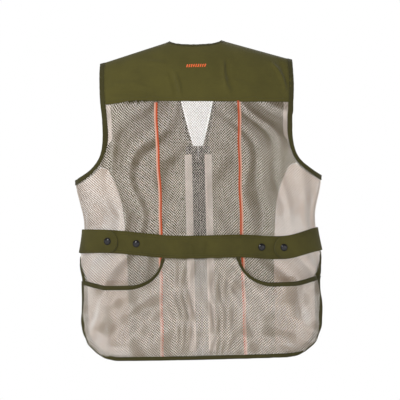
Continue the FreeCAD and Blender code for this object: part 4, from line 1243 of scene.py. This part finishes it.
def front_side_netting(side):
    seam = moved(front_seam(), -0.002)
    arm = fronted(inside_armhole(UNDER_TAPE))
    arm = arm[heights(arm) < -0.278]
    vent = vent_edge(VENT_TOP, UNDER_TAPE, True)
    foot_x = abs(float(on_shape(seam[-1])[0]))
    level = FRONT_HEM + UNDER_TAPE
    hem = front_line([(VENT_HALF - CORNER, level), (foot_x, level)], 20)
    outline = join(arm, seam_side(), vent, hem[1:], seam[::-1])
    made = netting(f"front_side_netting_{side}", *for_side(side, outline), NET_LIFT, slack=front_slack,
                   open_size=0.71)
    sew_sheet(made, SIDE_NET, [f"front_side_panel_{side}"])


def upright_edges(inner, outer, top, foot, count):
    """The two long edges of an upright strip on the front."""
    return [front_line([(x, top), (x, foot)], count) for x in (inner, outer)]


def facing(side):
    edges = upright_edges(0.0145, 0.031, VEE_LEVEL - 0.012, HEM + 0.010, 40)
    sew_tape(f"facing_tape_{side}", side, edges, FACING, "beige_tape", [f"front_facing_{side}"],
             lift=-0.0020, thick=0.0012, pucker=0.2)


def end_patch(side):
    """The dark patch where the neck tape ends, outside and inside."""
    sew_tape(f"neck_end_tape_{side}", side,
             upright_edges(0.0003, 0.029, VEE_LEVEL + 0.008, VEE_LEVEL - 0.012, 8),
             DARK_TAPE, "olive_binding", [f"neck_end_patch_{side}"], lift=0.0030, thick=0.0014)
    sew_tape(f"neck_end_lining_{side}", side,
             upright_edges(0.0003, 0.028, VEE_LEVEL + 0.007, VEE_LEVEL - 0.011, 8),
             DARK_TAPE, "olive_binding", lift=-0.0026, thick=0.0010)


# ---------------------------------------------------------------- zip


def zip_tapes(side):
    for label, lift, replaced in (("", 0.0019, [f"zipper_tape_{side}"]), ("_lining", -0.0012, [])):
        edges = upright_edges(0.0003, 0.0168, VEE_LEVEL - 0.009, FRONT_HEM - 0.0005, 30)
        sew_tape(f"zip_cloth{label}_{side}", side, edges, ZIP_TAPE, "zipper_tape", replaced,
                 lift=lift, thick=0.0009, give=0.0)


# outline of a tooth in millimetres, seen from the front: away from the middle, and up
TOOTH_PLAN = [(0.0, -0.55), (-1.0, -0.78), (-1.7, -0.72), (-2.1, -0.3), (-2.1, 0.3),
              (-1.7, 0.72), (-1.0, 0.78), (0.0, 0.55), (1.9, 0.75), (1.9, -0.75)]
# layers of a tooth from back to front: millimetres from the zip's plane, and size
TOOTH_LEVELS = [(-1.25, 0.72), (-1.0, 1.0), (1.0, 1.0), (1.25, 0.72)]
TOOTH_SHIFT = 0.0013
TOOTH_PITCH = 0.002


def zip_teeth(side):
    """Moulded teeth that reach past the middle, between those of the other side."""
    sign = SIDES[side]
    plan = np.array(TOOTH_PLAN) * MM
    plan[:, 0] = sign * (plan[:, 0] + TOOTH_SHIFT)
    if sign > 0:
        plan = plan[::-1]
    corners = len(plan)
    middle = plan[:, 0].mean()
    tooth = np.concatenate([np.c_[middle + (plan[:, 0] - middle) * size, np.full(corners, ZIP_PLANE + y * MM),
                                  plan[:, 1] * size] for y, size in TOOTH_LEVELS])
    start = ZIP_TOP - 0.006 - (TOOTH_PITCH / 2 if sign > 0 else 0)
    count = int((start - ZIP_FOOT) / TOOTH_PITCH)
    offsets = start - TOOTH_PITCH * np.arange(count)
    points = tooth[None] + np.stack([np.zeros(count), np.zeros(count), offsets], axis=-1)[:, None]
    pattern = [grid_faces(len(TOOTH_LEVELS), corners, closed_columns=True)]
    half = corners // 2
    for level, order in ((0, 1), (len(TOOTH_LEVELS) - 1, -1)):
        base = level * corners
        strip = [[base + index, base + index + 1, base + corners - 2 - index, base + corners - 1 - index]
                 for index in range(half - 1)]
        pattern.append(np.array(strip)[:, ::order])
    faces = np.concatenate(pattern)[None] + (np.arange(count) * len(tooth))[:, None, None]
    piece = new_mesh(f"zip_teeth_{side}", points.reshape(-1, 3), faces.reshape(-1, 4), smooth=False)
    finish_piece(piece, ZIP_PLASTIC, [f"zipper_teeth_{side}"])


# ---------------------------------------------------------------- front pockets

FLAP_LEVEL = -0.548
POCKETS = {"lower_pocket": (0.074, 0.214, -0.554, -0.690, 0.020),
           "chest_pocket": (0.078, 0.178, -0.178, -0.292, 0.014)}


def pocket_lift(name):
    inner, outer, top, foot, room = POCKETS[name]

    def lift(turn, drop):
        points = surface(turn, drop)
        share = np.minimum(1, np.abs(2 * (np.abs(points[..., 0]) - inner) / (outer - inner) - 1))
        down = np.clip((top - points[..., 2]) / (top - foot), 0, 1)
        ripple = 0.0012 * np.sin(points[..., 0] * 95 + points[..., 2] * 37) * np.sin(points[..., 2] * 61 + 1)
        return 0.0021 + (room + ripple) * (1 - share ** 6) * (1 - down ** 6)

    return lift


def patch_pocket(name, side):
    inner, outer, top, foot = POCKETS[name][:4]
    corners = [(inner, top), (outer, top), (inner, foot), (outer, foot)]
    edges = [front_line([corners[start], corners[end]]) for start, end in ((0, 1), (2, 3), (0, 2), (1, 3))]
    grid = patch_grid(*for_side(side, *edges), 80, 70)
    lift = pocket_lift(name)
    made = cloth_from_grid(f"{name}_cloth_{side}", grid, lift, 0.0014)
    sew_sheet(made, FRONT_TWILL, [f"{name}_{side}"])
    hem = [front_line([(inner + 0.001, z), (outer - 0.001, z)]) for z in (top + 0.0012, top - 0.0100)]
    sew_tape(f"{name}_hem_{side}", side, hem, TAPE, "olive_binding", lift=above(lift, -0.0006), thick=0.0028)
    for inset in (0.0022, 0.0075):
        line = front_line([(inner + inset, top - 0.013), (inner + inset, foot + inset),
                           (outer - inset, foot + inset), (outer - inset, top - 0.013)], 200)
        stitches.run(*for_side(side, line), above(lift, 0.0015))


def flap_frame(side):
    """Middle of a pocket flap's hinge line, with its directions along and outward."""
    inner, outer = POCKETS["lower_pocket"][:2]
    sign = SIDES[side]
    ends = [on_shape(station(sign * x, FLAP_LEVEL, True)) for x in (inner, outer)]
    middle = on_shape(station(sign * (inner + outer) / 2, FLAP_LEVEL, True))
    along = (ends[1] - ends[0]) * sign
    along[2] = 0
    along = unit(along)
    return middle, along, np.array([-along[1], along[0], 0])


# section of a flap in millimetres: out from its hinge line, and up
FLAP_LINE = [(4.4, 9.0), (12, 6.2), (21, 2.2), (27.5, -1.2),
             (30.6, -5.0), (31.1, -12), (31.0, -30), (31.0, -46)]
FLAP_HALF = 0.072
FLAP_CORNER = 0.014
FLAP_THICK = 0.0022
FLAP_SNAP_OUT = 0.03215
FLAP_SNAP_DOWN = 0.032
UP = np.array([0, 0, 1])


def flap_seam(skin, inset, seams, up):
    """Stitches down one side of a flap, along its foot and up the other side."""
    rows, columns = skin.shape[:2]
    last_row = rows - 1 - inset
    down = np.arange(3, rows - inset)
    row_path = np.r_[down, np.full(columns - 2 * inset, last_row), np.arange(last_row, 2, -1)]
    column_path = np.r_[np.full(len(down), inset), np.arange(inset, columns - inset),
                        np.full(len(down), columns - 1 - inset)]
    trail = skin[row_path, column_path]
    reach = run_length(trail) + np.arange(len(trail)) * NO_STEP
    marks = np.arange(0, reach[-1] - 0.003, STITCH_PITCH)
    begin, end = [sampled(trail, reach, marks + ahead) for ahead in (0, STITCH_SIZE)]
    seams.between(begin, end, np.tile(up, (len(marks), 1)), THREAD_RADIUS)


def pocket_flap(side):
    line = smooth_line(np.array(FLAP_LINE) * MM, 56)
    reach = run_length(line)
    share = np.linspace(-1, 1, 90)
    middle, along, out = flap_frame(side)
    past = np.maximum(0, np.abs(share) * FLAP_HALF - (FLAP_HALF - FLAP_CORNER))
    trim = FLAP_CORNER - np.sqrt(np.maximum(0, FLAP_CORNER ** 2 - past ** 2))
    run = (reach[-1] - trim)[None, :] * np.linspace(0, 1, len(line))[:, None]
    slope = unit(np.gradient(line, axis=0))
    out_by, up, fall, lean = [np.interp(run, reach, values)
                              for values in (*line.T, -slope[:, 1], slope[:, 0])]
    across = share[None, :] * FLAP_HALF + np.zeros_like(run)
    ripple = 0.0007 * np.sin(across * 90 + 1) * (run / reach[-1]) ** 2
    edge = np.minimum((FLAP_HALF - np.abs(across)), reach[-1] - trim[None] - run)
    rounding = 1 - 0.35 * (1 - ease(edge / 0.002))
    skins = []
    for face in (1, -1):
        height = ripple + face * FLAP_THICK / 2 * rounding
        skins.append(middle + across[..., None] * along + (out_by + fall * height)[..., None] * out
                     + (up + lean * height)[..., None] * UP)
    body = f"pocket_flap_{side}"
    sew_sheet(closed_sheet(f"flap_cloth_{side}", *skins), FRONT_TWILL, [body], body)
    seams = Stitches()
    for inset in (4, 10):
        flap_seam(skins[0], inset, seams, out)
    finish_piece(seams.piece(f"flap_stitching_{side}"), SEAM_THREAD, body=body)
    spot = middle + out * FLAP_SNAP_OUT - UP * FLAP_SNAP_DOWN
    snap(f"flap_snap_{side}", body, spot, out, [f"flap_snap_cap_{side}"])


# ---------------------------------------------------------------- snaps

DOME = [(0.0, 3.05), (1.8, 3.0), (3.6, 2.72), (5.1, 2.2), (6.1, 1.6), (6.6, 1.15), (6.7, 0.9)]
RING = [(6.65, 0.75), (6.8, 1.25), (7.1, 1.4), (7.6, 1.25), (8.0, 0.85), (8.1, 0.3), (8.0, 0.0), (6.6, 0.0)]


def lathe(name, profile, centre, normal, segments=44, closed=False):
    """A turned piece whose axis is the normal; the profile gives radius and height in millimetres."""
    normal = unit(np.asarray(normal, float))
    first = unit(np.cross(normal, UP))
    second = np.cross(normal, first)
    angle = np.linspace(0, 2 * math.pi, segments, endpoint=False)
    rounds = np.cos(angle)[:, None] * first + np.sin(angle)[:, None] * second
    rings = [centre + normal * height * MM + rounds * max(radius, 0.002) * MM for radius, height in profile]
    return new_mesh(name, np.stack(rings), grid_faces(len(profile), segments, closed, closed_columns=True))


def snap(name, body, centre, normal, replaced):
    finish_piece(lathe(f"{name}_dome", DOME, centre, normal), SNAP_BLACK, replaced, body)
    finish_piece(lathe(f"{name}_ring", RING, centre, normal, closed=True), SNAP_RING, body=body)


STUD = [(0.0, 2.0), (1.4, 1.9), (2.2, 1.5), (2.5, 0.9), (2.2, 0.5), (4.2, 0.4), (4.5, 0.2), (4.5, 0.0)]
TAB_LIFT = 0.0048
TAB_CLOTH = 0.0030
TAB_WIDTH = 0.050
TAB_ROOT = 84        # degrees round to the line where a tab is sewn down
# distances from the middle: a tab's free end, its cap, and the spare button on the belt
TAB_ENDS = {"left": 0.183, "right": 0.1645}
CAPS = {"left": 0.205, "right": 0.185}
BUTTONS = {"left": 0.142, "right": 0.1365}


def belt_point(x, lift):
    """A point over the middle of the belt, and the direction outward there."""
    spot = station(x, belt_level(x, 0.5))
    normal = outward(*spot)
    return on_shape(spot) + normal * lift, normal


def tab_edges(side):
    """Edges of a belt tab, written for the right side: sewn along a line there, rounded at its free end."""
    sign = SIDES[side]
    radius = TAB_WIDTH / 2 - 0.001
    inset = 0.5 - TAB_WIDTH / BELT_WIDTH / 2
    straight = TAB_ENDS[side] + radius

    def spots(x, share):
        return station(x, belt_level(sign * np.asarray(x), share))

    angle = np.linspace(0, math.pi, 49)
    arc = spots(straight - radius * np.sin(angle), 0.5 - (0.5 - inset) * np.cos(angle))
    long_edges = [spots(np.linspace(straight, belt_reach(sign, share, TAB_ROOT), 50)[1:], share)
                  for share in (inset, 1 - inset)]
    shares = np.linspace(inset, 1 - inset, 9)
    root_edge = spots(belt_reach(sign, shares, TAB_ROOT), shares)
    return [join(arc[:13][::-1], long_edges[0]), join(arc[-13:], long_edges[1]), arc[12:-12], root_edge]


def belt_tab(side):
    body = f"belt_tab_{side}"
    edges = tab_edges(side)
    grid = patch_grid(*for_side(side, *edges), 96, 44)
    piece, measured = cloth_from_grid(f"tab_cloth_{side}", grid, TAB_LIFT, TAB_CLOTH, give=0.4)
    piece.data.materials.append(BELT_TWILL)
    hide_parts(body)
    free = Vector(place(*grid[22, 76], TAB_LIFT, 0.0))
    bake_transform(piece)
    seams = Stitches()
    ring = join(edges[0][::-1], edges[2], edges[1])
    seams.run(*for_side(side, moved(ring[8:-8], -0.0032)), TAB_LIFT + TAB_CLOTH + 0.0001, give=0.4)
    finish_piece(seams.piece(f"tab_stitching_{side}"), SEAM_THREAD, body=body)
    sign = SIDES[side]
    on_tab = belt_point(sign * CAPS[side], TAB_LIFT + TAB_CLOTH + 0.0002)
    snap(f"tab_snap_{side}", body, *on_tab, [f"tab_snap_cap_{side}"])
    under_tab = belt_point(sign * CAPS[side], BELT_LIFT + BELT_THICK)
    stud = lathe(f"tab_stud_{side}", STUD, *under_tab)
    finish_piece(stud, SNAP_BLACK, [f"tab_snap_stud_{side}"])
    on_belt = belt_point(sign * BUTTONS[side], BELT_LIFT + BELT_THICK + 0.0001)
    snap(f"belt_snap_{side}", "vest", *on_belt, [f"belt_button_{side}"])


# ---------------------------------------------------------------- stitched mark

MARK_LEVEL = -0.0590
BARS = 9
BARS_APART = 0.0050
BAR_HALF = 0.0015
BAR_TALL = 0.0062
BAR_SLANT = 0.32
SATIN_PITCH = 0.00042
SATIN_RADIUS = 0.00034


def mark():
    """A plain row of slanted satin-stitched bars, in place of the lettering."""
    bars = Stitches()
    rows = int(BAR_TALL / SATIN_PITCH)
    for number in range(BARS):
        middle = (number - (BARS - 1) / 2) * BARS_APART
        up = np.linspace(BAR_TALL / 2, -BAR_TALL / 2, rows)
        ends = [station(middle + half + up * BAR_SLANT, MARK_LEVEL + up) for half in (-BAR_HALF, BAR_HALF)]
        begin, end = [place(spots[:, 0], spots[:, 1], 0.0021) for spots in ends]
        bars.between(begin, end, outward(ends[0][:, 0], ends[0][:, 1]), SATIN_RADIUS)
    finish_piece(bars.piece("satin_bars"), THREAD, ["stitched_mark"])


def paint_cad():
    """Hard CAD pieces that stay keep their own shape and take the scene's finishes."""
    for node, material in (("zipper_slider", SLIDER_METAL), ("zipper_pull", SLIDER_METAL),
                           ("zipper_stops", ZIP_PLASTIC)):
        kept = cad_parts[node]
        kept.data.materials.clear()
        kept.data.materials.append(material)


for name in SIDES:
    front_panels(name)
    front_side_netting(name)
    facing(name)
    end_patch(name)
    zip_tapes(name)
    zip_teeth(name)
    for pocket in POCKETS:
        patch_pocket(pocket, name)
    pocket_flap(name)
    belt_tab(name)
mark()
paint_cad()

# ---------------------------------------------------------------- stage

FLOOR_LEVEL = -1.15
WALL = 1.0           # brightness of the studio's walls and ceiling
CEILING = 0.25


def stage():
    """A round pale floor well below the hanging vest."""
    angle = np.linspace(0, 2 * math.pi, 96, endpoint=False)
    rings = [np.stack([radius * np.cos(angle), radius * np.sin(angle), np.full(96, FLOOR_LEVEL)], axis=-1)
             for radius in (0.01, 1.0, 3.2)]
    floor = new_mesh("floor", np.stack(rings), grid_faces(3, 96, closed_columns=True))
    paper = Finish("floor_paper")
    paper.set(Base_Color=(0.88, 0.88, 0.88, 1), Roughness=0.9)
    paper.set(Emission_Color=(1, 1, 1, 1), Emission_Strength=0.30)
    floor.data.materials.append(paper.material)


def studio_world():
    """White walls up to above head height, and a dimmer ceiling."""
    world = bpy.data.worlds.new("studio")
    world.use_nodes = True
    nodes = world.node_tree.nodes
    links = world.node_tree.links
    background = nodes["Background"]
    background.inputs["Strength"].default_value = 1.0
    coordinates = nodes.new("ShaderNodeTexCoord")
    split = nodes.new("ShaderNodeSeparateXYZ")
    links.new(coordinates.outputs["Generated"], split.inputs[0])
    ramp = nodes.new("ShaderNodeValToRGB")
    for element, position, level in zip(ramp.color_ramp.elements, (0.20, 0.45), (WALL, CEILING)):
        element.position = position
        element.color = (level, level, level, 1)
    links.new(split.outputs["Z"], ramp.inputs[0])
    links.new(ramp.outputs[0], background.inputs["Color"])
    bpy.context.scene.world = world


def area_light(name, where, aim, size, power):
    light = bpy.data.lights.new(name, "AREA")
    light.shape = "SQUARE"
    light.size = size
    light.energy = power
    lamp = bpy.data.objects.new(name, light)
    lamp.location = where
    lamp.rotation_euler = (Vector(aim) - Vector(where)).to_track_quat("-Z", "Y").to_euler()
    bpy.context.scene.collection.objects.link(lamp)


CAMERA_ROLL = 1.3        # the vest lies a little turned in the photograph
VIEW_WIDTH = 0.9056
VIEW_MIDDLE = (0.0018, -0.3585)


def camera():
    data = bpy.data.cameras.new("camera")
    data.lens = 190
    data.sensor_width = 36
    lens = bpy.data.objects.new("camera", data)
    distance = VIEW_WIDTH * data.lens / data.sensor_width
    lens.location = (VIEW_MIDDLE[0], -distance, VIEW_MIDDLE[1])
    lens.rotation_euler = (math.pi / 2, math.radians(CAMERA_ROLL), 0)
    bpy.context.scene.collection.objects.link(lens)
    bpy.context.scene.camera = lens


stage()
studio_world()
camera()
area_light("key", (-1.5, -2.3, 1.5), (0, 0, -0.35), 0.9, 58)
area_light("fill", (1.9, -2.0, 0.3), (0, 0, -0.35), 1.8, 5)
area_light("front_fill", (1.4, 2.4, 1.1), (0, 0, -0.35), 1.8, 26)
bpy.context.scene.view_settings.view_transform = "Standard"

finish_piece(stitches.piece("topstitching"), SEAM_THREAD)
